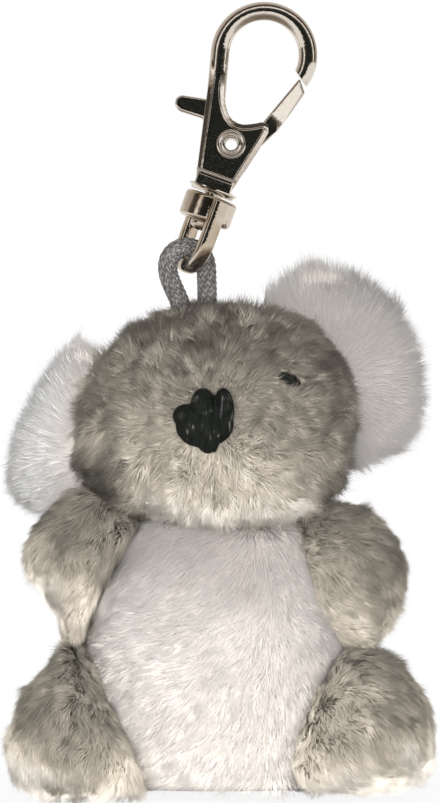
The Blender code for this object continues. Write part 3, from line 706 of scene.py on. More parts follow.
def collar_parts(hook):
    """Square collar under the cheeks, the bead round its top and the flange under it."""
    foot = -hook.cheek_drop
    low = foot - hook.collar_height
    left, right = (point[0] * hook.cheek_width for point in CHEEK_OUTLINE[:CHEEK_FOOT])
    half = hook.cheek_thickness / 2
    parts = []
    for level, (wider, start, end, rounding) in ((low, COLLAR_BLOCK), (foot, COLLAR_BEAD)):
        more = wider * MM
        bottom, top = level + start * MM, foot + end * MM
        bm = opened(box_mesh((left - more, -half - more, bottom), (right + more, half + more, top)))
        round_off(bm, rounding * MM, 4)
        parts.append(to_mesh(bm))
    radius, lip = hook.collar / 2, COLLAR_LIP
    flange = [
        (0, low + lip * 3.2), (radius - lip * 2, low + lip * 3.2), (radius, low + lip * 2.6),
        (radius, low + lip * 2), (radius - lip, low + lip * 1.4), (radius - lip * 1.6, low), (0, low),
    ]
    middle = Matrix.Translation(((left + right) / 2 * COLLAR_SHIFT, 0, 0))
    parts.append(turned_mesh(flange))
    parts[-1].transform(middle)
    return parts


def make_hook_body(hook, material):
    """Cheeks, crown and collar in one casting, with its pocket, its rivet hole and its socket."""
    outline = [
        (across * hook.cheek_width, up * hook.cheek_length - hook.cheek_drop) for across, up in CHEEK_OUTLINE
    ]
    bm = plate_bmesh(rounded_outline(outline, CHEEK_CORNERS), hook.cheek_thickness - 2 * hook.rim_rise)
    faces = flat_faces(bm)
    bmesh.ops.inset_individual(bm, faces=faces, thickness=hook.rim, depth=hook.rim_rise)
    bmesh.ops.inset_individual(bm, faces=faces, thickness=hook.rim_height / 2, depth=-hook.rim_height)
    round_off(bm, hook.edge, 3, 30)
    top = -hook.cheek_drop + hook.cheek_length * TAPER_TOP
    fade = hook.cheek_length * TAPER_LENGTH
    for vert in bm.verts:
        near = min(max((vert.co.z - (top - fade)) / fade, 0), 1)
        vert.co.y *= 1 - near * near * (3 - 2 * near) * (1 - hook.wire / hook.cheek_thickness * TAPER_END)
    body = new_object("hook_body_bright", to_mesh(bm), material)
    wire = new_object("wire", swept_mesh(crown_points(hook), hook.wire / 2, 48), material)
    size = hook.wire * 2
    cut = box_mesh((-size, -size, -size), (size, size, 0))
    tip = Vector((TIP[0] * hook.lever_reach, 0, TIP[1] * hook.lever_reach - hook.rivet_drop))
    reach = tip + Vector((math.sin(TIP_ANGLE), 0, math.cos(TIP_ANGLE))) * TIP_GAP
    cut.transform(Matrix.Translation(reach) @ Matrix.Rotation(TIP_ANGLE, 4, "Y"))
    joined(wire, ("DIFFERENCE", cut))
    foot = -hook.cheek_drop
    floor = foot + hook.pocket_floor
    pocket = box_mesh(
        (-hook.cheek_width, -hook.pocket / 2, floor),
        (hook.cheek_width, hook.pocket / 2, floor + hook.pocket_height),
    )
    hole = rod_mesh(hook.rivet + hook.fit, hook.cheek_thickness * 2, (0, 0, -hook.rivet_drop))
    socket = rod_mesh(hook.stud + hook.fit, hook.stud_socket * 2, (0, 0, 0))
    socket.transform(
        Matrix.Translation((0, 0, foot - hook.collar_height)) @ Matrix.Rotation(math.pi / 2, 4, "X")
    )
    steps = [("UNION", wire.data)] + [("UNION", part) for part in collar_parts(hook)]
    joined(body, *steps, ("DIFFERENCE", pocket), ("DIFFERENCE", hole), ("DIFFERENCE", socket))
    bpy.data.objects.remove(wire)
    return metal_piece("hook_body", body, "hook", hook_matrix(hook))


def make_lever(hook, material):
    """Bell crank whose arm turns its face on the way to its tip."""
    outline = [(across * hook.lever_reach, up * hook.lever_reach) for across, up in LEVER_OUTLINE]
    bm = plate_bmesh(outline, hook.lever)
    arm = Vector((math.sin(ARM_ANGLE), 0, math.cos(ARM_ANGLE)))
    aside = Vector((-arm.z, 0, arm.x))
    for share_out in ARM_TURNS:
        place_out = arm * hook.lever_reach * share_out
        bmesh.ops.bisect_plane(
            bm, geom=bm.verts[:] + bm.edges[:] + bm.faces[:], plane_co=place_out, plane_no=arm
        )
    for vert in bm.verts:
        out = vert.co.dot(arm) / hook.lever_reach
        turned = min(max((out - ARM_TURNS[0]) / (ARM_TURNS[1] - ARM_TURNS[0]), 0), 1)
        vert.co.y += turned * ARM_SLANT * (vert.co.dot(aside) - ARM_MIDDLE * hook.lever_reach)
    round_off(bm, hook.lever_edge, 4, 30)
    lever = new_object("lever", to_mesh(bm), material)
    back = hook.lever / 2
    coil = hook.spring_radius + hook.spring_wire
    depth = hook.spring_wire + hook.spring_turns * hook.spring_pitch + hook.fit
    joined(
        lever,
        ("DIFFERENCE", rod_mesh(hook.rivet + hook.fit, hook.lever * 3)),
        ("DIFFERENCE", rod_mesh(coil, depth * 2, (0, back, 0))),
        ("DIFFERENCE", box_mesh((-coil, back - depth, -coil * 2), (coil * 2, back * 2, 0))),
    )
    return metal_piece("gate_lever", lever, "gate", rivet_matrix(hook))


def make_rivet(hook, material):
    """Hollow rivet with a rolled head on each cheek, two rings round its hole."""
    half = hook.cheek_thickness / 2 + hook.fit
    head = hook.rivet_height
    wide = hook.rivet_head - hook.rivet_bore
    profile = [(hook.rivet_bore + wide * out, half + head * up) for out, up in RIVET_RINGS]
    profile.append((hook.rivet, half))
    profile += [(radius, -up) for radius, up in reversed(profile)]
    mesh = turned_mesh(profile)
    mesh.transform(Matrix.Rotation(math.pi / 2, 4, "X"))
    rivet = new_object("rivet", mesh, material)
    return metal_piece("gate_rivet", rivet, "hook", rivet_matrix(hook), 60)


def make_spring(hook, material):
    """Torsion spring round the rivet, its long leg on the floor of the pocket."""
    back = hook.lever / 2
    radius = hook.spring_wire / 2
    floor = hook.rivet_drop - hook.cheek_drop + hook.pocket_floor
    points = [Vector((hook.spring_radius, back - radius, floor + radius + hook.fit))]
    turn_steps = 40
    for step in range(int(hook.spring_turns * turn_steps) + 1):
        turn = math.tau * step / turn_steps
        inward = back - radius - hook.spring_pitch * step / turn_steps
        points.append(
            Vector((hook.spring_radius * math.cos(turn), inward, hook.spring_radius * math.sin(turn)))
        )
    spring = new_object("spring", swept_mesh(points, radius, 12), material)
    return metal_piece("gate_spring", spring, "hook", rivet_matrix(hook))


def swivel_levels(hook):
    """How far up the drum's top, the drum's foot and the ring's bar are."""
    top = -hook.cheek_drop - hook.collar_height - hook.swivel_gap
    bottom = top - hook.drum_height
    return top, bottom, bottom - hook.ring_drop


def make_stud(hook, material):
    """Pin in the collar's socket, with a peened head inside the ring."""
    _, bottom, _ = swivel_levels(hook)
    head_top = bottom - hook.fit
    head_low = head_top - hook.stud_head_height
    top = -hook.cheek_drop - hook.collar_height + hook.stud_socket - hook.fit
    profile = [(0, top), (hook.stud, top), (hook.stud, head_top), (hook.stud_head, head_top)]
    for part in (0.25, 0.5, 0.75, 0.92):
        fall = hook.stud_head_height * (0.3 + 0.7 * part)
        profile.append((hook.stud_head * math.sqrt(1 - part * part), head_top - fall))
    profile.append((0, head_low))
    stud = new_object("stud", turned_mesh(profile), material)
    return metal_piece("swivel_stud", stud, "hook", hook_matrix(hook))


def make_swivel(hook, material):
    """Drum, and the ring whose legs run down its front and back."""
    top, bottom, bar = swivel_levels(hook)
    bore = hook.stud + hook.fit
    soft = hook.drum_edge
    profile = [(bore, top), (hook.drum - soft, top)]
    for part in range(1, 5):
        turn = math.pi / 2 * part / 4
        fall = soft * (1 - math.cos(turn)) * DRUM_SHOULDER
        profile.append((hook.drum - soft * (1 - math.sin(turn)), top - fall))
    for part in range(5):
        turn = math.pi / 2 * part / 4
        profile.append((hook.drum - soft * (1 - math.cos(turn)), bottom + soft * (1 - math.sin(turn))))
    profile.append((bore, bottom))
    drum = new_object("drum", turned_mesh(profile), material)
    centre = bar + hook.ring
    leg_top = top - hook.drum_edge * LEG_SUNK
    steps = 40
    points = [Vector((0, -hook.ring, leg_top)), Vector((0, -hook.ring, (leg_top + centre) / 2))]
    for step in range(steps + 1):
        turn = math.pi * step / steps
        points.append(
            Vector((0, -hook.ring * math.cos(turn), centre - hook.ring * math.sin(turn)))
        )
    points += [Vector((0, hook.ring, (leg_top + centre) / 2)), Vector((0, hook.ring, leg_top))]
    ring = swept_mesh(points, 0, 20, (hook.ring_width, hook.ring_thickness))
    joined(drum, ("UNION", ring))
    matrix = hook_matrix(hook) @ Matrix.Rotation(hook.ring_turn, 4, "Z")
    return metal_piece("swivel_eye", drum, "eye", matrix)


# The cord: sideways along the loop and up from the ring's bar, in millimetres
CORD_ROUTE = [
    (-0.45, -11.9), (-0.45, -9.3), (-0.5, -7.2), (-0.95, -5.2), (-1.75, -3.3), (-2.45, -1.6),
    (-2.68, 0.0), (-2.32, 1.34), (-1.34, 2.32), (0.0, 2.68), (1.34, 2.32), (2.32, 1.34),
    (2.68, 0.0), (2.75, -1.7), (2.8, -3.4), (2.78, -5.2), (2.72, -7.2), (2.7, -9.3), (2.7, -11.9),
]


def smooth_route(route, steps):
    """Points read from a smooth curve through the route's own points."""
    ends = [route[0] * 2 - route[1]] + route + [route[-1] * 2 - route[-2]]
    points = []
    for before, start, end, after in zip(ends, ends[1:], ends[2:], ends[3:]):
        for step in range(steps):
            t = step / steps
            swing = (end - before) * t + (before * 2 - start * 5 + end * 4 - after) * t**2
            points.append(start + (swing + (start * 3 - before - end * 3 + after) * t**3) / 2)
    return points + [route[-1]]


def cord_line(hook, steps=12):
    _, _, bar = swivel_levels(hook)
    middle = hook_matrix(hook) @ Vector((0, 0, bar))
    along = Vector((1, math.tan(hook.ring_turn), 0)) * MM
    route = [middle + along * across + UP * up * MM for across, up in CORD_ROUTE]
    return smooth_route(route, steps)


STITCH_ROWS = 10
STITCH_LEAN = 0.7
END_ROWS = 3


def braided_mesh(points, radius, relief, yarn, columns, around=96):
    """Tube along the points whose surface is knitted in columns of stitches like the letter V."""
    line = np.array([tuple(point) for point in points])
    steps = np.r_[0, np.cumsum(np.linalg.norm(np.diff(line, axis=0), axis=1))]
    rows = int(steps[-1] / yarn * STITCH_ROWS)
    along = np.linspace(0, steps[-1], rows + 1)
    centre = np.stack([np.interp(along, steps, line[:, axis]) for axis in range(3)], 1)
    ahead = np.gradient(centre, axis=0)
    ahead /= np.linalg.norm(ahead, axis=1)[:, None]
    side = np.zeros_like(centre)
    side[0] = np.cross(ahead[0], (0, 1, 0))
    for row in range(1, len(centre)):
        side[row] = side[row - 1] - ahead[row] * (side[row - 1] @ ahead[row])
        side[row] /= np.linalg.norm(side[row])
    side[0] /= np.linalg.norm(side[0])
    up = np.cross(ahead, side)
    bm = bmesh.new()
    bmesh.ops.create_grid(bm, x_segments=around, y_segments=rows, size=0.5)
    mesh = to_mesh(bm, "braid")
    flat = np.zeros(len(mesh.vertices) * 3)
    mesh.vertices.foreach_get("co", flat)
    flat = flat.reshape(-1, 3) + 0.5
    turn = np.round(flat[:, 0] * around) / around
    row = np.clip(np.round(flat[:, 1] * rows).astype(int), 0, rows)
    leg = np.abs((turn * columns) % 1 - 0.5) * 2
    stitch = along[row] / yarn + leg * STITCH_LEAN + 0.23 * np.sin(np.floor(turn * columns) % columns * 2.4)
    height = np.cos(np.pi * (stitch % 1 - 0.5)) * (0.55 + 0.45 * np.sin(np.pi * leg))
    ends = np.minimum(1, np.minimum(row, rows - row) / END_ROWS)
    reach = (radius - relief * (1 - height)) * (0.4 + 0.6 * np.sqrt(np.clip(ends, 0.0, 1)))
    round_turn = math.tau * turn
    places = centre[row] + (
        np.cos(round_turn)[:, None] * side[row] + np.sin(round_turn)[:, None] * up[row]
    ) * reach[:, None]
    mesh.vertices.foreach_set("co", places.ravel())
    tone = (np.floor(stitch) * 0.381 + np.floor(turn * columns * 2) * 0.619) % 1
    loops = np.zeros(len(mesh.loops), int)
    mesh.loops.foreach_get("vertex_index", loops)
    nudge = (np.arange(len(loops)) % 4 - 1.5) * 0.004
    layer = mesh.uv_layers.new(name=MAP)
    layer.uv.foreach_set(
        "vector",
        np.stack([0.04 + 0.92 * tone[loops] + nudge, 0.04 + 0.92 * height[loops] - nudge], 1).ravel(),
    )
    bm = opened(mesh)
    bmesh.ops.remove_doubles(bm, verts=bm.verts, dist=SAME_PLACE)
    bmesh.ops.holes_fill(bm, edges=[edge for edge in bm.edges if edge.is_boundary])
    bmesh.ops.recalc_face_normals(bm, faces=bm.faces)
    return shaded(to_mesh(bm, "braid"), 180)


def knot_points(middle, size, steps=72):
    """A closed overhand knot, flattened."""
    points = []
    for step in range(steps + 1):
        turn = math.tau * step / steps
        out = 2 + math.cos(3 * turn)
        bow = Vector((out * math.cos(2 * turn), out * math.sin(2 * turn) * 0.55, math.sin(3 * turn) * 0.8))
        points.append(middle + bow * (size / 3))
    return points


# The stuffed forms by rows: how far up, then the pile tips' left, right, front and back, in millimetres
FORMS = {
    "head": [
        (-39.4, -12.6, -1.0, -3.5, 4.5), (-40.6, -15.6, 4.2, -8.0, 8.5), (-43.2, -20.0, 8.6, -11.8, 11.0),
        (-47.0, -23.3, 11.3, -14.6, 12.6), (-52.0, -26.0, 12.8, -16.2, 13.2),
        (-57.0, -26.6, 13.2, -17.4, 13.0), (-62.0, -27.0, 12.4, -18.4, 11.6),
        (-66.0, -24.6, 10.8, -18.6, 9.0), (-69.0, -18.4, 8.2, -17.8, 5.0),
        (-70.6, -12.6, 3.0, -15.4, 0.0), (-71.0, -9.0, -1.6, -11.0, -3.0),
    ],
    "torso": [
        (-68.6, -16.0, 4.0, -7.0, 9.0), (-71.0, -18.6, 6.6, -10.6, 12.4),
        (-76.0, -21.6, 9.0, -12.4, 15.0), (-82.0, -24.6, 11.4, -13.6, 16.6),
        (-87.0, -26.2, 12.6, -14.2, 17.2), (-92.0, -26.2, 12.6, -14.6, 17.4),
        (-98.0, -25.2, 12.2, -15.0, 17.2), (-103.0, -23.0, 10.4, -15.2, 15.8),
        (-107.0, -21.6, 9.2, -15.0, 13.0), (-108.4, -20.0, 7.4, -14.7, 10.4),
    ],
    "arm_left": [
        (-63.8, -25.6, -20.6, -3.6, 1.6), (-65.6, -28.4, -17.6, -6.2, 4.2),
        (-68.0, -31.0, -16.4, -8.0, 5.6), (-70.4, -32.8, -16.6, -9.2, 6.4),
        (-73.0, -33.8, -17.6, -9.8, 6.6), (-75.9, -34.0, -19.2, -10.4, 6.6),
        (-79.8, -32.3, -21.2, -10.4, 6.0), (-82.9, -30.5, -22.4, -10.0, 5.0),
        (-85.6, -29.6, -23.4, -9.2, 3.4), (-88.0, -28.8, -24.4, -7.8, 1.0),
    ],
    "arm_right": [
        (-66.4, 3.6, 12.6, -3.0, 3.0), (-68.2, 2.0, 15.6, -5.2, 5.0), (-70.0, 1.6, 17.8, -7.6, 6.2),
        (-72.2, 1.6, 19.2, -9.4, 6.6), (-75.9, 1.8, 20.5, -10.8, 6.8), (-79.8, 2.6, 20.3, -11.2, 6.4),
        (-82.9, 3.6, 19.3, -11.2, 5.6), (-86.0, 5.6, 17.9, -10.4, 4.2), (-88.6, 8.6, 16.2, -8.8, 1.6),
    ],
    "leg_left": [
        (-86.0, -28.8, -25.0, -10.0, -4.0), (-87.6, -30.0, -23.6, -12.8, -0.5),
        (-89.6, -31.2, -22.4, -15.2, 1.6), (-93.8, -34.2, -20.6, -18.8, 3.6),
        (-98.0, -35.7, -18.6, -20.8, 4.4), (-102.2, -36.4, -16.8, -21.6, 4.6),
        (-105.6, -35.8, -15.4, -21.4, 4.0), (-108.0, -33.4, -15.2, -20.0, 2.0),
        (-109.4, -29.0, -17.0, -16.0, -2.6),
    ],
    "leg_right": [
        (-86.6, 10.0, 16.8, -10.0, -4.0), (-88.2, 7.6, 19.2, -12.8, -0.5), (-91.0, 6.0, 21.3, -15.8, 2.0),
        (-93.8, 4.6, 23.0, -18.4, 3.6), (-98.0, 3.0, 24.1, -20.8, 4.4), (-102.2, 1.9, 24.4, -21.6, 4.6),
        (-104.8, 1.7, 23.8, -21.2, 3.8), (-106.6, 2.4, 21.0, -19.8, 2.0),
        (-108.0, 5.0, 16.4, -16.0, -2.6),
    ],
    "ear_left": [
        (-45.0, -27.4, -22.5, 4.0, 7.0), (-47.0, -29.4, -19.0, 2.4, 8.6), (-50.2, -31.6, -16.6, 1.4, 9.8),
        (-55.0, -33.8, -15.6, 1.0, 10.4), (-60.0, -35.6, -15.6, 1.0, 10.4),
        (-65.0, -36.2, -17.0, 1.0, 10.2), (-68.6, -35.0, -20.0, 1.6, 9.4),
        (-70.6, -32.0, -24.5, 3.2, 7.8),
    ],
    "ear_right": [
        (-34.2, 4.0, 9.6, 4.4, 7.2), (-36.0, 1.3, 14.8, 2.8, 9.0), (-39.4, -0.9, 18.7, 1.6, 10.0),
        (-44.0, -1.6, 21.1, 1.0, 10.6), (-50.0, -1.0, 22.2, 1.0, 10.6), (-55.4, 1.0, 22.2, 1.0, 10.4),
        (-58.6, 3.4, 21.4, 1.4, 10.0), (-61.2, 6.6, 19.0, 2.4, 8.8), (-62.8, 10.0, 14.4, 4.2, 7.4),
    ],
}
SLOPES = {"ear_left": -0.62, "ear_right": 0.22}
STANDOFFS = {"ear_left": 2.6, "ear_right": 2.6, "head": 1.3, "torso": 1.2}
PILE_STANDS = 1.6
LEAST_SHARE = 0.25
SQUARENESS = {"torso": 3.4, "head": 2.2}
SEAT = -106.9 * MM


def moved_in(rows, move):
    """The rows with each end and side moved in, the ends no narrower than a share of before."""
    middle = (rows[0][0] + rows[-1][0]) / 2
    squeeze = 1 - 2 * move / abs(rows[0][0] - rows[-1][0])
    inner = []
    for up, left, right, front, back in rows:
        across, ahead = (left + right) / 2, (front + back) / 2
        wide = max((right - left) / 2 - move, (right - left) / 2 * LEAST_SHARE)
        deep = max((back - front) / 2 - move, (back - front) / 2 * LEAST_SHARE)
        level = middle + (up - middle) * squeeze
        inner.append((level, across - wide, across + wide, ahead - deep, ahead + deep))
    return inner


def form_mesh(name, sides=32, steps=4, inward=0.0):
    """Closed form through the rows of a table, moved in from the pile's tips to the cloth."""
    rows = smooth_route([np.array(row) * MM for row in FORMS[name]], steps)
    middle = sum((row[1] + row[2]) / 2 for row in rows) / len(rows)
    rows = moved_in(rows, STANDOFFS.get(name, PILE_STANDS) * MM + inward)
    bm = bmesh.new()
    rings = []
    last = len(rows) - 1
    for level, (up, left, right, front, back) in enumerate(rows):
        known = set(bm.edges)
        where = Matrix.LocRotScale(
            ((left + right) / 2, (front + back) / 2, up), None, (right - left, back - front, 1)
        )
        bmesh.ops.create_circle(
            bm, cap_ends=level in (0, last), cap_tris=True, radius=0.5, segments=sides, matrix=where
        )
        rings.append([edge for edge in bm.edges if edge not in known and len(edge.link_faces) < 2])
        square = SQUARENESS.get(name, 2)
        for vert in {vert for edge in rings[-1] for vert in edge.verts}:
            side = (vert.co.x - (left + right) / 2) / (right - left) * 2
            face = (vert.co.y - (front + back) / 2) / (back - front) * 2
            grow = (abs(side) ** square + abs(face) ** square) ** (-1 / square)
            vert.co.x += side * (grow - 1) * (right - left) / 2
            vert.co.y += face * (grow - 1) * (back - front) / 2
    for lower, upper in zip(rings, rings[1:]):
        bmesh.ops.bridge_loops(bm, edges=lower + upper)
    bmesh.ops.recalc_face_normals(bm, faces=bm.faces)
    for _ in range(3):
        bmesh.ops.smooth_vert(
            bm, verts=bm.verts, factor=0.5, use_axis_x=True, use_axis_y=True, use_axis_z=True
        )
    slope = SLOPES.get(name, 0)
    for vert in bm.verts:
        vert.co.y += slope * (vert.co.x - middle)
    return shaded(to_mesh(bm), 180)


def form_middle(name):
    rows = np.array(FORMS[name]) * MM
    low, high = rows.min(0), rows.max(0)
    return np.array(((low[1] + high[2]) / 2, (low[3] + high[4]) / 2, (low[0] + high[0]) / 2))


class Surface:
    """A form's surface, with tests and random places on it."""

    def __init__(self, mesh):
        mesh.calc_loop_triangles()
        self.points = np.array([vertex.co for vertex in mesh.vertices])
        self.normals = np.array([vertex.normal for vertex in mesh.vertices])
        self.triangles = np.array([triangle.vertices for triangle in mesh.loop_triangles])
        self.tree = BVHTree.FromPolygons(self.points.tolist(), self.triangles.tolist())
        a, b, c = (self.points[self.triangles[:, corner]] for corner in range(3))
        self.areas = np.linalg.norm(np.cross(b - a, c - a), axis=1) / 2

    def depth(self, place):
        """How far inside the surface a place lies, less than zero outside."""
        near, normal, _, _ = self.tree.find_nearest(place)
        return (near - Vector(place)).dot(normal)

    def scatter(self, amount, rng, keep=None):
        """Random places and their normals, spread evenly over the triangles that keep lets through."""
        areas = self.areas
        if keep is not None:
            areas = areas * keep(self.points[self.triangles].mean(1))
        chosen = rng.choice(len(areas), amount, p=areas / areas.sum())
        first, second = rng.random((2, amount))
        turned = first + second > 1
        first[turned] = 1 - first[turned]
        second[turned] = 1 - second[turned]
        parts = np.stack([1 - first - second, first, second], 1)[:, :, None]
        corners = self.triangles[chosen]
        normals = (self.normals[corners] * parts).sum(1)
        normals /= np.linalg.norm(normals, axis=1)[:, None]
        return (self.points[corners] * parts).sum(1), normals


THICKEST = 0.42


def tuft_template(bent):
    """A closed tuft with three sides: each point's share of the length, its place across, and faces.

    A bent tuft is a spindle with a middle ring, and a straight one a cone."""
    bm = bmesh.new()
    if bent:
        bmesh.ops.create_uvsphere(bm, u_segments=3, v_segments=2, radius=1)
    else:
        bmesh.ops.create_cone(
            bm, cap_ends=True, cap_tris=False, segments=3, radius1=1, radius2=0, depth=2
        )
    bmesh.ops.triangulate(bm, faces=bm.faces)
    bmesh.ops.recalc_face_normals(bm, faces=bm.faces)
    bm.verts.index_update()
    points = np.array([vert.co for vert in bm.verts])
    faces = np.array([[vert.index for vert in face.verts] for face in bm.faces])
    bm.free()
    up = (points[:, 2] + 1) / 2
    if bent:
        up = np.where((up > 0.1) & (up < 0.9), THICKEST, up)
    return up, points[:, :2], faces


def tufts_mesh(name, roots, bends, tips, radius, tone, rng, bent):
    """Every tuft from root to tip, with its tone and length on the map."""
    up, across, faces = tuft_template(bent)
    amount = len(roots)
    ahead = unit(tips - roots)
    side = unit(np.cross(ahead, rng.normal(size=(amount, 3))))
    over = np.cross(ahead, side)
    t = up[None, :, None]
    line = roots[:, None] * (1 - t) ** 2 + bends[:, None] * 2 * t * (1 - t) + tips[:, None] * t**2
    width = radius[:, None, None]
    places = line + width * (side[:, None] * across[None, :, :1] + over[:, None] * across[None, :, 1:])
    index = (faces[None] + np.arange(amount)[:, None, None] * len(up)).reshape(-1, 3)
    mesh = bpy.data.meshes.new(name)
    mesh.vertices.add(amount * len(up))
    mesh.vertices.foreach_set("co", places.astype(np.float32).ravel())
    mesh.loops.add(index.size)
    mesh.loops.foreach_set("vertex_index", index.astype(np.int32).ravel())
    mesh.polygons.add(len(index))
    mesh.polygons.foreach_set("loop_start", np.arange(0, index.size, 3, dtype=np.int32))
    mesh.update(calc_edges=True)
    mesh.shade_smooth()
    shown = np.stack(
        [
            np.clip(tone, 0, 1)[:, None] * 0.98 + 0.01 + across[None, :, 0] * 0.003,
            np.broadcast_to(0.03 + 0.95 * up + across[:, 1] * 0.02, (amount, len(up))),
        ],
        2,
    ).reshape(-1, 2)
    layer = mesh.uv_layers.new(name=MAP)
    layer.uv.foreach_set("vector", shown[index.ravel()].astype(np.float32).ravel())
    mesh.validate()
    return mesh


def unit(vectors):
    return vectors / np.maximum(np.linalg.norm(vectors, axis=1), 1e-9)[:, None]


def waves(places, scale, rng, terms=5):
    """Smooth numbers about zero that vary over a distance."""
    total = np.zeros(len(places))
    for _ in range(terms):
        direction = rng.normal(size=3)
        direction *= math.tau / (scale * np.linalg.norm(direction) * rng.uniform(0.7, 1.5))
        total += np.sin(places @ direction + rng.uniform(0, math.tau))
    return total / math.sqrt(terms / 2)


# How far the pile's waves reach, in clumps
SWAY_REACH = 7
FINE_REACH = 2.4
LENGTH_REACH = 3
# How the tufts lie, each a share of their length or of their direction
LEAST_FLOW = 0.35
FINE_SHARE = 0.4
LOOSE_SHARE = 0.22
MOST_DRIFT = 0.80
ROOT_RISE = 0.7
HALF_WAY = 0.5
CURL_SHARE = 0.35
LEAST_PULL = 0.55
MEETING_SPREAD = 0.35
BEND_PULL = 0.35
FEWEST_CLUMPS = 12
TUFTS_IN_CLUMP = 36
CLUMP_REACH = 1.3
SHORTEST = 0.35
LONGEST = 1.6
UNEVEN_LENGTH = 0.13
# How the tufts' tones and radii vary, and how much paler a painted glint is
RADIUS_RANGE = (0.75, 1.25)
TONE_OF_CLUMP = 0.05
TONE_OF_TUFT = 0.035
PAINTED_GLINT_TONE = 0.35


class Pile:
    """The pile of one panel: where its tufts stand, how they lie and what tone they have."""

    def __init__(self, name, surface, amount, seed, keep=None, blocked=()):
        self.name = name
        self.rng = np.random.default_rng(seed)
        roots, normals = surface.scatter(int(amount * 1.05), self.rng, keep)
        if blocked:
            free = [
                all(other.depth(root) < margin for other, margin in blocked) for root in roots.tolist()
            ]
            roots, normals = roots[free], normals[free]
        self.roots = roots[:amount]
        self.normals = normals[:amount]

    def lie(self, comb, size, upright, ruffle, clump, gather, curl=0.35, uneven=0.12):
        """Bend the tufts along the comb, gathered into clumps, with lengths that vary."""
        rng, roots, normals = self.rng, self.roots, self.normals
        amount = len(roots)
        flow = comb - normals * (comb * normals).sum(1)[:, None]
        flow = unit(flow) * np.minimum(1, np.linalg.norm(flow, axis=1) + LEAST_FLOW)[:, None]
        sway = np.stack([waves(roots, clump * SWAY_REACH, rng) for _ in range(3)], 1)
        fine = np.stack([waves(roots, clump * FINE_REACH, rng) for _ in range(3)], 1)
        loose = rng.normal(size=(amount, 3))
        drift = (sway * (1 - FINE_SHARE) + fine * FINE_SHARE) * ruffle
        drift *= np.minimum(1, MOST_DRIFT / np.maximum(np.linalg.norm(drift, axis=1), MM))[:, None]
        flow = flow + drift + loose * ruffle * LOOSE_SHARE
        flow -= normals * (flow * normals).sum(1)[:, None]
        broad = uneven * waves(roots, clump * LENGTH_REACH, rng)
        lengths = size * (1 + broad + rng.normal(size=amount) * UNEVEN_LENGTH)
        lengths = np.clip(lengths, np.min(size) * SHORTEST, np.max(size) * LONGEST)[:, None]
        aim = unit(normals * upright + flow)
        bends = roots + unit(normals * (upright + ROOT_RISE) + flow * HALF_WAY) * lengths * HALF_WAY
        tips = roots + aim * lengths
        side = np.cross(normals, unit(flow + 1e-6))
        tips += side * rng.normal(size=(amount, 1)) * lengths * curl * CURL_SHARE
        centres = max(FEWEST_CLUMPS, int(amount / (TUFTS_IN_CLUMP * (clump / MM) ** 2)))
        heads = rng.choice(amount, min(centres, amount), replace=False)
        tree = KDTree(len(heads))
        for index, head in enumerate(heads):
            tree.insert(roots[head], index)
        tree.balance()
        nearest = heads[[tree.find(root)[1] for root in roots.tolist()]]
        apart = np.linalg.norm(roots - roots[nearest], axis=1)[:, None]
        pull = gather * rng.uniform(LEAST_PULL, 1.0, (amount, 1)) * (apart < clump * CLUMP_REACH)
        meeting = tips[nearest] + (roots - roots[nearest]) * MEETING_SPREAD
        self.tips = tips + (meeting - tips) * pull
        self.bends = bends + (meeting - tips) * pull * BEND_PULL
        self.clumps = nearest
        return self

    def thin(self, kept):
        """Keep only some of the tufts."""
        self.roots, self.bends, self.tips = self.roots[kept], self.bends[kept], self.tips[kept]
        self.clumps = self.clumps[kept]

    def mesh(self, tone, radius, bent, speckle, painted_glint):
        """The tufts' mesh, with tones that vary by clump and by tuft, and a share of glints."""
        rng = self.rng
        amount = len(self.roots)
        clump_tone = rng.normal(size=self.clumps.max() + 1)[self.clumps]
        tones = tone + (clump_tone * TONE_OF_CLUMP + rng.normal(size=amount) * TONE_OF_TUFT) * speckle
        # Painted glints: a share of the tufts made paler
        tones = np.where(rng.random(amount) < painted_glint, tones + PAINTED_GLINT_TONE, tones)
        radii = radius * rng.uniform(*RADIUS_RANGE, amount)
        return tufts_mesh(self.name, self.roots, self.bends, self.tips, radii, tones, rng, bent)


# Each eye's place across and up, and how far it stands out, in millimetres
EYES = {"left": (-16.6, -51.8, -1.9), "right": (3.5, -50.1, -0.85)}
EYE_RADII = (1.95, 1.8, 1.0)
SLIT = (2.8, 0.62)
SLIT_TURN = math.radians(-22)


def beside_eye(across, height):
    """How far off the slit of the eye that shows, 1 on its rim."""
    over, up = across - EYES["right"][0], height - EYES["right"][1]
    along = over * math.cos(SLIT_TURN) + up * math.sin(SLIT_TURN)
    off = up * math.cos(SLIT_TURN) - over * math.sin(SLIT_TURN)
    return np.hypot(along / SLIT[0], off / SLIT[1])


def make_pile(pile, tone, radius, material, bent=False, speckle=1.0, painted_glint=0.0):
    obj = new_object(pile.name, pile.mesh(tone, radius, bent, speckle, painted_glint), material)
    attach(obj, BODY)
    return obj


SURFACES = {}
FINISHES = {}


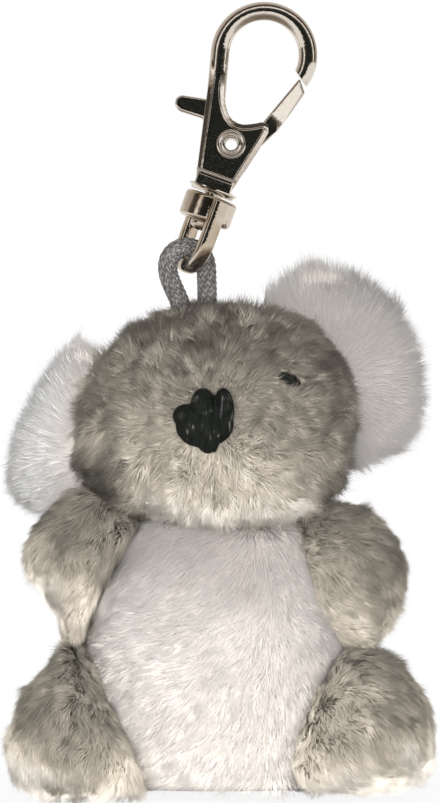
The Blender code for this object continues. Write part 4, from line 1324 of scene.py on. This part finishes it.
def finishes():
    """Every finish of the charm, made once."""
    if FINISHES:
        return FINISHES
    c = sizes("colours")
    deep, base, light, chin = (tuple(x) for x in (c.grey_deep, c.grey, c.grey_light, c.chin))
    cream, cream_deep, ear, ear_deep = (tuple(x) for x in (c.cream, c.cream_deep, c.ear, c.ear_deep))
    dim = mixed_colour(deep, base, 0.6)
    FINISHES.update(
        grey_pile=pile_finish(
            "grey_pile", [(0.0, deep), (0.25, dim), (0.5, base), (0.75, light), (1.0, chin)], 0.68
        ),
        belly_pile=pile_finish(
            "belly_pile", [(0.0, cream_deep), (0.5, mixed_colour(cream_deep, cream, 0.7)), (1.0, cream)],
            0.97, roughness=0.9, shine=0.05, sheen=0.3,
        ),
        ear_pile=pile_finish(
            "ear_pile", [(0.0, ear_deep), (0.5, ear), (1.0, tuple(c.ear_light))],
            0.98, roughness=0.9, shine=0.05, sheen=0.5,
        ),
        # The backing cloths take the piles' darker tones: painted shade where the cloth shows between the
        # tufts
        grey_cloth=cloth_finish("grey_cloth", dim, deep),
        cream_cloth=cloth_finish("cream_cloth", cream_deep, mixed_colour(grey(0), cream_deep, 0.7)),
        nickel=nickel_finish("nickel", tuple(c.nickel), tuple(c.tarnish), -0.35),
        warm_nickel=nickel_finish("warm_nickel", tuple(c.nickel), tuple(c.tarnish), 0.42),
        cord_yarn=cord_finish("cord_yarn", tuple(c.cord), tuple(c.cord_gap_shade)),
        nose_thread=thread_finish("nose_thread", tuple(c.black)),
        eye_bead=bead_finish("eye_bead", tuple(c.black)),
    )
    return FINISHES


def surface(name):
    if name not in SURFACES:
        mesh = form_mesh(name, 48, 6)
        SURFACES[name] = Surface(mesh)
        bpy.data.meshes.remove(mesh)
    return SURFACES[name]


CLEARANCE = 0.2 * MM
SEAM = 0.5 * MM
SEAM_GAP = 0.15 * MM
# How deep inside a neighbour a tuft may still stand
HEAD_DEPTH = 0.6 * MM
TORSO_DEPTH = 0.7 * MM
TORSO_LIMB_DEPTH = 1.3 * MM
LIMB_DEPTH = 0.5 * MM
EAR_DEPTH = 0.4 * MM


def cloth_piece(name, form_name, finish, replaced, planes=(), clear_of=()):
    """The stuffed cloth of one panel, cut at its seams and closed, clear of its neighbours."""
    bm = opened(form_mesh(form_name))
    for where, normal in planes:
        whole = bm.verts[:] + bm.edges[:] + bm.faces[:]
        cut = bmesh.ops.bisect_plane(bm, geom=whole, plane_co=where, plane_no=normal, clear_outer=True)
        rim = [item for item in cut["geom_cut"] if isinstance(item, bmesh.types.BMEdge)]
        bmesh.ops.holes_fill(bm, edges=rim)
    bmesh.ops.recalc_face_normals(bm, faces=bm.faces)
    obj = new_object(name, to_mesh(bm), finish)
    if clear_of:
        joined(obj, *(("DIFFERENCE", form_mesh(other, inward=-CLEARANCE)) for other in clear_of))
    shaded(obj.data, 60)
    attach(obj, BODY)
    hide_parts(*replaced)
    return obj


def neighbours(names, depth):
    return [(surface(name), depth) for name in names]


def mottle(pile, terms):
    """Tones that vary by each amount over its distance in millimetres."""
    return sum(amount * waves(pile.roots, reach * MM, pile.rng) for amount, reach in terms)


def above_seat(middles):
    return middles[:, 2] > SEAT


def flow_from(places, centre, down=0.0):
    """Directions away from a place, with some share of downwards."""
    return unit(places - np.array(centre)) + np.array((0, 0, -down))


# Each lamp's width, height and place from the middle of the picture, in metres
LAMPS = {
    "key": (0.36, 0.36, (-0.20, -0.58, 0.06)),
    "low": (0.60, 0.05, (0.06, -0.50, -0.02)),
    "top": (0.40, 0.40, (0.12, 0.10, 0.55)),
}
SENSOR = 36


def build_stage():
    s = sizes("stage")
    camera = bpy.data.cameras.new("camera")
    camera.sensor_width = SENSOR
    camera.lens = SENSOR * s.distance / s.picture
    camera.clip_start, camera.clip_end = 0.01, 20
    view = added("camera", camera)
    view.location = (s.middle_x, -s.distance, s.middle_z)
    view.rotation_euler = (math.pi / 2, 0, 0)
    bpy.context.scene.camera = view
    bpy.context.scene.view_settings.view_transform = "Standard"
    middle = Vector((s.middle_x, 0, s.middle_z))
    for name, (wide, high, where) in LAMPS.items():
        lamp = bpy.data.lights.new(name, "AREA")
        lamp.energy = getattr(s, name)
        lamp.shape = "RECTANGLE"
        lamp.size, lamp.size_y = wide, high
        obj = added(name, lamp)
        obj.location = middle + Vector(where)
        obj.rotation_euler = (middle - obj.location).to_track_quat("-Z", "Y").to_euler()
        obj.visible_glossy = False
    build_world(s)
    build_floor(s)


# What the metal mirrors: round the object, then darker towards the ground
MIRROR_STOPS = [
    (0.00, (0.015, 0.017, 0.015)), (0.13, (0.03, 0.03, 0.027)), (0.20, (0.34, 0.29, 0.24)),
    (0.23, (1.15, 1.12, 1.08)), (0.27, (1.15, 1.1, 1.05)), (0.32, (0.42, 0.34, 0.28)),
    (0.38, (0.045, 0.04, 0.035)), (0.56, (0.10, 0.085, 0.07)), (0.66, (0.52, 0.44, 0.385)),
    (0.85, (0.60, 0.53, 0.48)), (1.00, (0.80, 0.74, 0.70)),
]
GROUND_STOPS = [(0.0, (0.30, 0.25, 0.20)), (0.36, (0.70, 0.62, 0.54)), (0.5, WHITE)]
SOFT_STOPS = [(0.25, (1.15, 1.12, 1.08)), (0.9, (0.66, 0.67, 0.68))]
FLOOR_STOPS = [(0.0, (0.26, 0.21, 0.17)), (1.0, (0.95, 0.90, 0.85))]
FLOOR_SHADE = 0.09
FLOOR_HALF = 1.2


def build_world(s):
    """White to the camera, a studio of light and dark to the metal, and soft light for the rest."""
    world = bpy.data.worlds.new("studio")
    bpy.context.scene.world = world
    world.use_nodes = True
    world.node_tree.nodes.clear()
    studio = Nodes(world.node_tree)
    across, ahead, up = studio.parts(studio.node("ShaderNodeTexCoord").outputs["Generated"])
    soft = studio.ramp(up * 0.5 + 0.5, SOFT_STOPS)
    around = ahead * 0.5 + 0.5 + up * 0.12 - across * 0.12
    plain = studio.node("ShaderNodeBackground", inputs={"Color": soft, "Strength": s.world})
    ground = studio.ramp(up * 0.5 + 0.5, GROUND_STOPS)
    seen = studio.node(
        "ShaderNodeMix", {"data_type": "RGBA", "blend_type": "MULTIPLY"},
        {0: 1.0, 6: studio.ramp(around, MIRROR_STOPS), 7: ground},
    )
    mirror = studio.node("ShaderNodeBackground", inputs={"Color": seen.outputs[2]})
    white = studio.node("ShaderNodeBackground", inputs={"Color": WHITE})
    path = studio.node("ShaderNodeLightPath")
    shown = plain
    for ray, background in (("Is Glossy Ray", mirror), ("Is Camera Ray", white)):
        pair = {0: path.outputs[ray], 1: shown.outputs[0], 2: background.outputs[0]}
        shown = studio.node("ShaderNodeMixShader", inputs=pair)
    studio.node("ShaderNodeOutputWorld", inputs={"Surface": shown.outputs[0]})


def build_floor(s):
    """White to the camera but for the object's shadow, and dark near the object in the metal."""
    finish = Finish("floor", 0.9)
    finish.shader.inputs["Base Color"].default_value = (0.9, 0.9, 0.9, 1)
    path = finish.node("ShaderNodeLightPath")
    glow = finish.node("ShaderNodeEmission", inputs={"Color": WHITE})
    across, ahead, _ = finish.parts(finish.position())
    reach = (across * across + ahead * ahead) ** 0.5
    mirrored = finish.ramp(((reach - s.mirror_near) / s.mirror_fade).clamped(), FLOOR_STOPS)
    shine = finish.node("ShaderNodeEmission", inputs={"Color": mirrored})
    lit = finish.node(
        "ShaderNodeMixShader",
        inputs={0: path.outputs["Is Glossy Ray"], 1: finish.shader.outputs[0], 2: shine.outputs[0]},
    )
    clear = ((reach - s.shadow_near) / s.shadow_fade).clamped() * FLOOR_SHADE + (1 - FLOOR_SHADE)
    seen = Value(finish, path.outputs["Is Camera Ray"]) * clear
    mix = finish.node("ShaderNodeMixShader", inputs={0: seen, 1: lit.outputs[0], 2: glow.outputs[0]})
    finish.feed(finish.tree.nodes["Material Output"].inputs["Surface"], mix.outputs[0])
    bm = bmesh.new()
    level = Matrix.Translation((0, 0, SEAT - s.floor_drop))
    bmesh.ops.create_grid(bm, x_segments=1, y_segments=1, size=FLOOR_HALF, matrix=level)
    floor = new_object("floor", to_mesh(bm), finish.material)


# The knot inside the head: its drop, and its braid's radius, relief, columns and steps round
KNOT_DROP = 2.1 * MM
KNOT_RADIUS = 0.75 * MM
KNOT_RELIEF = 0.1 * MM
KNOT_COLUMNS = 6
KNOT_AROUND = 48


def build_cord():
    """The loop, which bends from the ring's body to the koala's, and the knot inside the head."""
    hook, cord, looks = sizes("hook"), sizes("cord"), finishes()
    points = cord_line(hook)
    mesh = braided_mesh(points, cord.diameter / 2 + cord.relief / 2, cord.relief, cord.yarn, cord.columns)
    loop = new_object("cord_braid", mesh, looks["cord_yarn"])
    total = sum((b - a).length for a, b in zip(points, points[1:]))
    middle = (points[0] + points[-1]) / 2
    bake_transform(loop)
    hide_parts("cord_loop")
    knot_line = knot_points(middle - UP * KNOT_DROP, cord.knot)
    mesh = braided_mesh(knot_line, KNOT_RADIUS, KNOT_RELIEF, cord.yarn, KNOT_COLUMNS, KNOT_AROUND)
    knot = new_object("cord_knot_yarn", mesh, looks["cord_yarn"])
    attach(knot, BODY)
    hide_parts("cord_knot")


def build_hook():
    hook, looks = sizes("hook"), finishes()
    make_hook_body(hook, looks["nickel"])
    make_rivet(hook, looks["nickel"])
    make_spring(hook, looks["nickel"])
    make_stud(hook, looks["warm_nickel"])


def build_gate():
    make_lever(sizes("hook"), finishes()["nickel"])


def build_swivel():
    make_swivel(sizes("hook"), finishes()["warm_nickel"])


NOSE_PLACE = np.array((-8.2, -17.5, -56.5)) * MM
HEAD_TUFTS = 49000
HEAD_SPLIT = -1.0 * MM
BACK_TONE = 0.40
HEAD_MOTTLE = ((0.05, 7), (0.05, 2.5))
# Tones by height in millimetres, 0 the darkest tuft and 1 the palest: paler lower down and darker higher up,
# partly the plush's own paler chin, partly painted light from below and painted shade above
HEAD_TONES = ((-70, -67, -63, -58, -54, -50, -46, -41), (1.0, 1.0, 0.60, 0.34, 0.22, 0.12, 0.16, 0.22))
# The fold between the chin and the left cheek: how far across by height, and how much painted shade darkens
# the tufts beside it
CREASE = ((-68, -64, -60), (-17.2, -19.0, -19.6))
CREASE_SHADE = ((-67, -64, -61, -58), (1.0, 0.9, 0.4, 0.06))
# Painted light and shade on the head: each patch's place across and up, its size and how much paler it is
HEAD_SPOTS = [
    (-17.4, -57.0, 2.2, 0.14), (-24.6, -50.0, 3.0, 0.30), (1.0, -59.5, 3.2, -0.10), (9.8, -67.0, 3.4, -1.0),
    (11.0, -64.0, 3.0, -0.35),
]


def light_and_shade_patches(places, across, height):
    """Paler and darker patches, each with its place, its size and how much paler it is."""
    return sum(
        paler * np.exp(-((across - x) ** 2 + (height - z) ** 2) / size**2) for x, z, size, paler in places
    )


def build_head():
    p, looks = sizes("pile"), finishes()
    cloth_piece("head_cloth", "head", looks["grey_cloth"], ["head_skin", "head_stuffing"])
    skin = surface("head")
    blocked = neighbours(["torso"], HEAD_DEPTH)
    for name, front, seed in (("head_face_pile", True, 11), ("head_back_pile", False, 12)):

        def keep(middles, front=front):
            return (middles[:, 1] < HEAD_SPLIT) == front

        pile = Pile(name, skin, HEAD_TUFTS, seed, keep, blocked)
        places = pile.roots
        across, ahead, height = places.T / MM
        away = flow_from(places, NOSE_PLACE, 0.25)
        rear = np.clip((ahead + 2) / 12, 0, 1)[:, None]
        comb = away * (1 - rear) + np.array((0, 0.5, -0.8)) * rear
        near = np.linalg.norm(places - NOSE_PLACE, axis=1) / MM
        size = p.grey * (0.62 + 0.38 * np.clip((near - 4) / 8, 0, 1))
        off_eye = beside_eye(across, height)
        size *= np.interp(off_eye, (1.0, 2.4), (0.50, 1.0))
        beside = np.exp(-((off_eye / 2) ** 2))[:, None]
        comb = comb * (1 - beside) + np.array((math.cos(SLIT_TURN), 0, math.sin(SLIT_TURN))) * beside
        pile.lie(comb, size, upright=0.42, ruffle=0.95, clump=p.clump, gather=0.58, curl=0.5, uneven=0.15)
        tone = np.interp(height, *HEAD_TONES)
        # Paler towards the viewer's left: painted light
        tone += np.clip((-12 - across) / 10, 0, 1) * 0.10
        lower = np.clip((-54 - height) / 5, 0, 1)
        crease = np.interp(height, *CREASE)
        # A dark band along the fold, and darker tufts beyond it on the left: painted shade
        tone -= lower * 0.5 * np.exp(-(((across - crease) / 1.2) ** 2))
        tone -= np.interp(height, *CREASE_SHADE) * np.clip((crease - across) / 1.6, 0, 1)
        # Patches of painted light and shade
        tone += light_and_shade_patches(HEAD_SPOTS, across, height)
        # Darker on the right of the lower face: painted shade
        tone -= np.clip((across - 4) / 8, 0, 1) * 0.15 * lower
        tone = tone * (1 - rear[:, 0]) + BACK_TONE * rear[:, 0]
        tone += mottle(pile, HEAD_MOTTLE)
        # Darker tufts round the eye's slit: painted shade
        tone[off_eye < 1.7] -= 0.5
        if front:
            pile.thin(off_eye > 1)
            tone = tone[off_eye > 1]
        make_pile(pile, tone, p.fibre, looks["grey_pile"], speckle=1.1, painted_glint=0.06)


# Each lobe's place and radii in millimetres
NOSE_LOBES = [
    ((0.0, 0.0, -0.5), (4.0, 2.6, 3.3)), ((-2.5, 0.0, 0.9), (1.8, 2.3, 1.6)),
    ((0.1, 0.0, 2.1), (1.8, 2.5, 2.4)), ((2.9, 0.0, 1.5), (1.35, 2.2, 2.8)),
    ((0.3, 0.0, -3.0), (1.6, 2.0, 1.7)),
]
NOSE_VOXEL = 0.13 * MM
NOSE_AIM = (-8.3, -40, -56.0)
NOSE_OUT = 0.5 * MM
NOSE_LEAN = math.radians(-5)


def nose_mesh():
    """Lobes of a stitched nose grown together."""
    bm = bmesh.new()
    for where, radii in NOSE_LOBES:
        place_of = Matrix.LocRotScale(Vector(where) * MM, None, Vector(radii) * MM)
        bmesh.ops.create_icosphere(bm, subdivisions=4, radius=1, matrix=place_of)
    pad = added("pad", to_mesh(bm))
    skin = pad.modifiers.new("skin", "REMESH")
    skin.mode = "VOXEL"
    skin.voxel_size = NOSE_VOXEL
    soften = pad.modifiers.new("soften", "SMOOTH")
    soften.iterations = 5
    mesh = evaluated_mesh(pad)
    bpy.data.objects.remove(pad)
    return shaded(mesh, 180)


def build_face():
    looks = finishes()
    skin = surface("head")
    hit, _, _, _ = skin.tree.ray_cast(Vector(NOSE_AIM) * MM, -FRONT)
    mesh = nose_mesh()
    mesh.transform(Matrix.Translation(hit + FRONT * NOSE_OUT) @ Matrix.Rotation(NOSE_LEAN, 4, "Y"))
    nose = new_object("nose_thread_pad", mesh, looks["nose_thread"])
    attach(nose, BODY)
    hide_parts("nose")
    for name, (across, up, stands) in EYES.items():
        hit, normal, _, _ = skin.tree.ray_cast(Vector((across, NOSE_AIM[1], up)) * MM, -FRONT)
        bm = bmesh.new()
        where = Matrix.LocRotScale(
            hit + normal * stands * MM, Matrix.Rotation(-SLIT_TURN, 3, "Y"), Vector(EYE_RADII) * MM
        )
        bmesh.ops.create_uvsphere(bm, u_segments=32, v_segments=20, radius=1, matrix=where)
        eye = new_object(f"eye_{name}_bead", shaded(to_mesh(bm), 180), looks["eye_bead"])
        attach(eye, BODY)
        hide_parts(f"eye_{name}")


BELLY_TUFTS = 49000
BACK_TUFTS = 45000
BELLY_FOOT = 1.2 * MM
# Tones by height in millimetres: paler towards the bottom, painted light from below, and darker under the
# head, painted shade
BELLY_TONES = ((-107, -103, -98, -88, -80, -74, -70), (1.20, 1.05, 0.70, 0.50, 0.28, 0.10, 0.02))
BELLY_FALL = ((-107, -102, -84, -72), (-0.2, -1, -0.25, -0.8))
# Painted shade under the head at the upper left: place across and up, size and how much paler
BELLY_SPOTS = [(-17.0, -72.0, 6.0, -0.15)]
BELLY_MOTTLE = [(0.04, 9)]
BACK_MOTTLE = [(0.05, 8)]


def build_torso():
    p, looks = sizes("pile"), finishes()
    seat = (Vector((0, 0, SEAT)), Vector((0, 0, -1)))
    cloth_piece(
        "torso_cloth", "torso", looks["grey_cloth"], ["torso_skin", "torso_stuffing"],
        [seat, (Vector((0, SEAM + SEAM_GAP, 0)), Vector((0, -1, 0)))], ["head"],
    )
    cloth_piece(
        "belly_cloth", "torso", looks["cream_cloth"], ["belly_panel"],
        [seat, (Vector((0, SEAM - SEAM_GAP, 0)), Vector((0, 1, 0)))], ["head"],
    )
    skin = surface("torso")
    blocked = neighbours(["head"], TORSO_DEPTH) + neighbours(LIMBS, TORSO_LIMB_DEPTH)

    def belly_side(middles):
        return (middles[:, 1] < SEAM) & (middles[:, 2] > SEAT + BELLY_FOOT)

    def back_side(middles):
        return (middles[:, 1] >= SEAM) & above_seat(middles)

    belly = Pile("belly_pile", skin, BELLY_TUFTS, 21, belly_side, blocked)
    places = belly.roots
    across, _, height = places.T / MM
    spread = np.clip((across - 1) * 0.07, -1.4, 0.35)
    comb = np.stack([spread, 0 * across, np.interp(height, *BELLY_FALL)], 1)
    belly.lie(comb, p.belly, upright=0.15, ruffle=0.22, clump=p.clump, gather=0.05, curl=0.3, uneven=0.04)
    tone = np.interp(height, *BELLY_TONES)
    # Painted shade at the upper left, and paler at the left edge where the torso turns away: painted light
    tone += light_and_shade_patches(BELLY_SPOTS, across, height) + 0.4 * np.clip((-20 - across) / 4, 0, 1)
    tone += mottle(belly, BELLY_MOTTLE)
    make_pile(belly, tone, p.fibre * 0.8, looks["belly_pile"], speckle=0.2)
    back = Pile("back_pile", skin, BACK_TUFTS, 22, back_side, blocked)
    comb = np.tile((0.0, 0.15, -1.0), (len(back.roots), 1))
    back.lie(comb, p.grey, upright=0.4, ruffle=0.6, clump=p.clump, gather=0.35)
    make_pile(back, BACK_TONE + mottle(back, BACK_MOTTLE), p.fibre, looks["grey_pile"])


# Each limb's number of tufts and the way that they are combed
LIMBS = {
    "arm_left": (34000, (-0.50, -0.45, -0.70)),
    "arm_right": (34000, (0.80, -0.45, -0.40)),
    "leg_left": (49000, (-0.35, -0.50, -0.80)),
    "leg_right": (49000, (0.70, -0.50, -0.50)),
}
# Tones by height in millimetres: darker at the top of each limb, painted shade under the head and arms, and
# paler lower down, painted light from below
LIMB_TONES = {
    "arm_left": ((-85, -80, -77, -74, -70, -64), (0.76, 0.74, 0.58, 0.26, 0.08, -0.05)),
    "arm_right": ((-88, -84, -78, -73, -66), (0.45, 0.66, 0.36, 0.08, -0.10)),
    "leg_left": ((-107, -104, -101, -96, -90, -87), (1.10, 0.72, 0.24, 0.08, 0.08, -0.04)),
    "leg_right": ((-107, -104, -101, -96, -91, -87), (1.20, 0.92, 0.62, 0.46, 0.16, -0.25)),
}
LIMB_OUTWARD = 0.25
LIMB_MOTTLE = ((0.055, 6), (0.035, 2))
# Patches of painted light and shade on each limb: place across and up, size and how much paler
LIMB_SPOTS = {
    "arm_left": [(-31.5, -78.8, 3.4, 0.62), (-32.5, -72.5, 2.2, 0.25)],
    "arm_right": [(18.0, -78.0, 3.0, -0.06)],
    "leg_left": [(-34.5, -98.0, 2.5, 0.25), (-34.0, -103.5, 4.5, 0.85), (-19.5, -101.0, 2.5, 0.35)],
    "leg_right": [(17.0, -95.5, 3.4, -0.30), (9.0, -99.0, 3.0, -0.15), (20.5, -101.5, 3.4, 0.45)],
}


def build_limbs():
    p, looks = sizes("pile"), finishes()
    for index, (name, (amount, comb)) in enumerate(LIMBS.items()):
        is_arm = name.startswith("arm")
        planes = [] if is_arm else [(Vector((0, 0, SEAT)), Vector((0, 0, -1)))]
        partner = name.replace("arm", "leg") if is_arm else name.replace("leg", "arm")
        near = ["torso", "head"] if is_arm else ["torso", partner]
        cloth_piece(
            f"{name}_cloth", name, looks["grey_cloth"], [f"{name}_skin", f"{name}_stuffing"],
            planes, near,
        )
        blocked = neighbours(["torso", "head", partner], LIMB_DEPTH)
        pile = Pile(f"{name}_pile", surface(name), amount, 31 + index, above_seat, blocked)
        places = pile.roots
        middle = form_middle(name)
        comb = np.array(comb) + unit(places - middle) * LIMB_OUTWARD
        pile.lie(comb, p.limb, upright=0.40, ruffle=0.40, clump=p.clump, gather=0.38, curl=0.5, uneven=0.14)
        across, _, height = places.T / MM
        tone = np.interp(height, *LIMB_TONES[name]) + light_and_shade_patches(LIMB_SPOTS[name], across, height)
        tone += mottle(pile, LIMB_MOTTLE)
        make_pile(pile, tone, p.fibre, looks["grey_pile"], speckle=1.3, painted_glint=0.06)


EAR_TUFTS = 30000
EAR_BACK_TUFTS = 18000
EAR_BACK_TONE = 0.42
EAR_MOTTLE = [(0.03, 8)]
EAR_BACK_MOTTLE = [(0.06, 8)]
EAR_ROOTS = {"ear_left": (-18.0, 6.0, -61.0), "ear_right": (7.0, 6.0, -52.0)}
# Tones by place across in millimetres, darker towards the head: painted shade at the ear's root
EAR_TONES = {
    "ear_left": ((-31, -29, -27, -24), (1.2, 1.05, 0.82, 0.35)),
    "ear_right": ((2, 8.5, 13, 17, 20), (0.03, 0.05, 0.10, 0.14, 0.17)),
}


def skirt(pile, facing):
    """How much each tuft of an ear stands on its rim, from 0 to 1."""
    return np.clip(1.25 - 1.6 * np.abs(pile.normals @ np.array(facing)), 0, 1)


def build_ears():
    p, looks = sizes("pile"), finishes()
    for index, name in enumerate(("ear_left", "ear_right")):
        centre = form_middle(name)
        facing = Vector((-SLOPES[name], 1, 0)).normalized() * -1
        gap = facing * SEAM_GAP
        arm = name.replace("ear", "arm")
        near = ["head", arm] if name == "ear_left" else ["head"]
        cloth_piece(
            f"{name}_front_cloth", name, looks["cream_cloth"], [f"{name}_front"],
            [(Vector(centre) + gap, -facing)], near,
        )
        cloth_piece(
            f"{name}_back_cloth", name, looks["grey_cloth"], [f"{name}_back"],
            [(Vector(centre) - gap, facing)], near,
        )
        skin = surface(name)
        blocked = neighbours(["head", arm], EAR_DEPTH)
        towards = np.array(facing)

        def front(middles, centre=centre, towards=towards):
            return (middles - centre) @ towards > 0

        def rear(middles, centre=centre, towards=towards):
            return (middles - centre) @ towards <= 0

        pile = Pile(f"{name}_front_pile", skin, EAR_TUFTS, 41 + index, front, blocked)
        comb = unit(pile.roots - np.array(EAR_ROOTS[name]) * MM)
        rim = skirt(pile, facing)
        size = p.ear * (1 + 0.36 * rim * waves(pile.roots, 1.6 * MM, pile.rng))
        gather = 0.06 + 0.76 * rim[:, None]
        clump = p.clump * 1.8
        pile.lie(comb, size, upright=0.40, ruffle=0.10, clump=clump, gather=gather, curl=0.3, uneven=0.02)
        tone = np.interp(pile.roots[:, 0] / MM, *EAR_TONES[name]) + mottle(pile, EAR_MOTTLE)
        make_pile(pile, tone, p.fibre * 0.8, looks["ear_pile"], bent=True, speckle=0.4)
        pile = Pile(f"{name}_back_pile", skin, EAR_BACK_TUFTS, 51 + index, rear, blocked)
        comb = unit(pile.roots - centre) + np.array((0, 0.2, -0.3))
        pile.lie(comb, p.ear_back, upright=0.4, ruffle=0.5, clump=p.clump, gather=0.35)
        tone = EAR_BACK_TONE + mottle(pile, EAR_BACK_MOTTLE)
        make_pile(pile, tone, p.fibre, looks["grey_pile"])


def operator(name, label, words, build):
    """An operator that builds one piece or one group of like pieces."""

    def execute(self, context):
        build()
        return {"FINISHED"}

    return type(
        f"KOALA_OT_{name}",
        (bpy.types.Operator,),
        {"__doc__": words, "bl_idname": f"koala.{name}", "bl_label": label, "execute": execute},
    )


OPERATORS = [
    operator("stage", "Stage", "Set the camera, the lamps and the floor", build_stage),
    operator("cord", "Cord", "Braid the cord loop and its knot", build_cord),
    operator("hook", "Hook", "Cast the hook's body, rivet, spring and stud", build_hook),
    operator("gate", "Gate", "Make the gate lever", build_gate),
    operator("swivel", "Swivel", "Make the drum and its ring", build_swivel),
    operator("head", "Head", "Stuff the head and grow its pile", build_head),
    operator("face", "Face", "Sew on the nose and the eyes", build_face),
    operator("torso", "Torso", "Stuff the torso and grow its pile", build_torso),
    operator("limbs", "Limbs", "Stuff the arms and legs and grow their pile", build_limbs),
    operator("ears", "Ears", "Sew the ears and grow their long pile", build_ears),
]


class KOALA_PT_panel(bpy.types.Panel):
    """Sizes, colours and steps of the koala charm"""

    bl_label = "Koala"
    bl_idname = "KOALA_PT_panel"
    bl_space_type = "VIEW_3D"
    bl_region_type = "UI"
    bl_category = "Koala"

    def draw(self, context):
        for step in OPERATORS:
            self.layout.operator(step.bl_idname)
        for name in SETTINGS:
            group = getattr(context.scene, name)
            for key in group.bl_rna.properties.keys():
                if key not in ("rna_type", "name"):
                    self.layout.prop(group, key)


CLASSES = [*SETTINGS.values(), *OPERATORS, KOALA_PT_panel]


def register():
    for item in CLASSES:
        bpy.utils.register_class(item)
    for name, group in SETTINGS.items():
        setattr(bpy.types.Scene, name, PointerProperty(type=group))


def unregister():
    for name in SETTINGS:
        delattr(bpy.types.Scene, name)
    for item in reversed(CLASSES):
        bpy.utils.unregister_class(item)


def main():
    register()
    for step in OPERATORS:
        group, name = step.bl_idname.split(".")
        getattr(getattr(bpy.ops, group), name)()


if __name__ == "__main__":
    main()
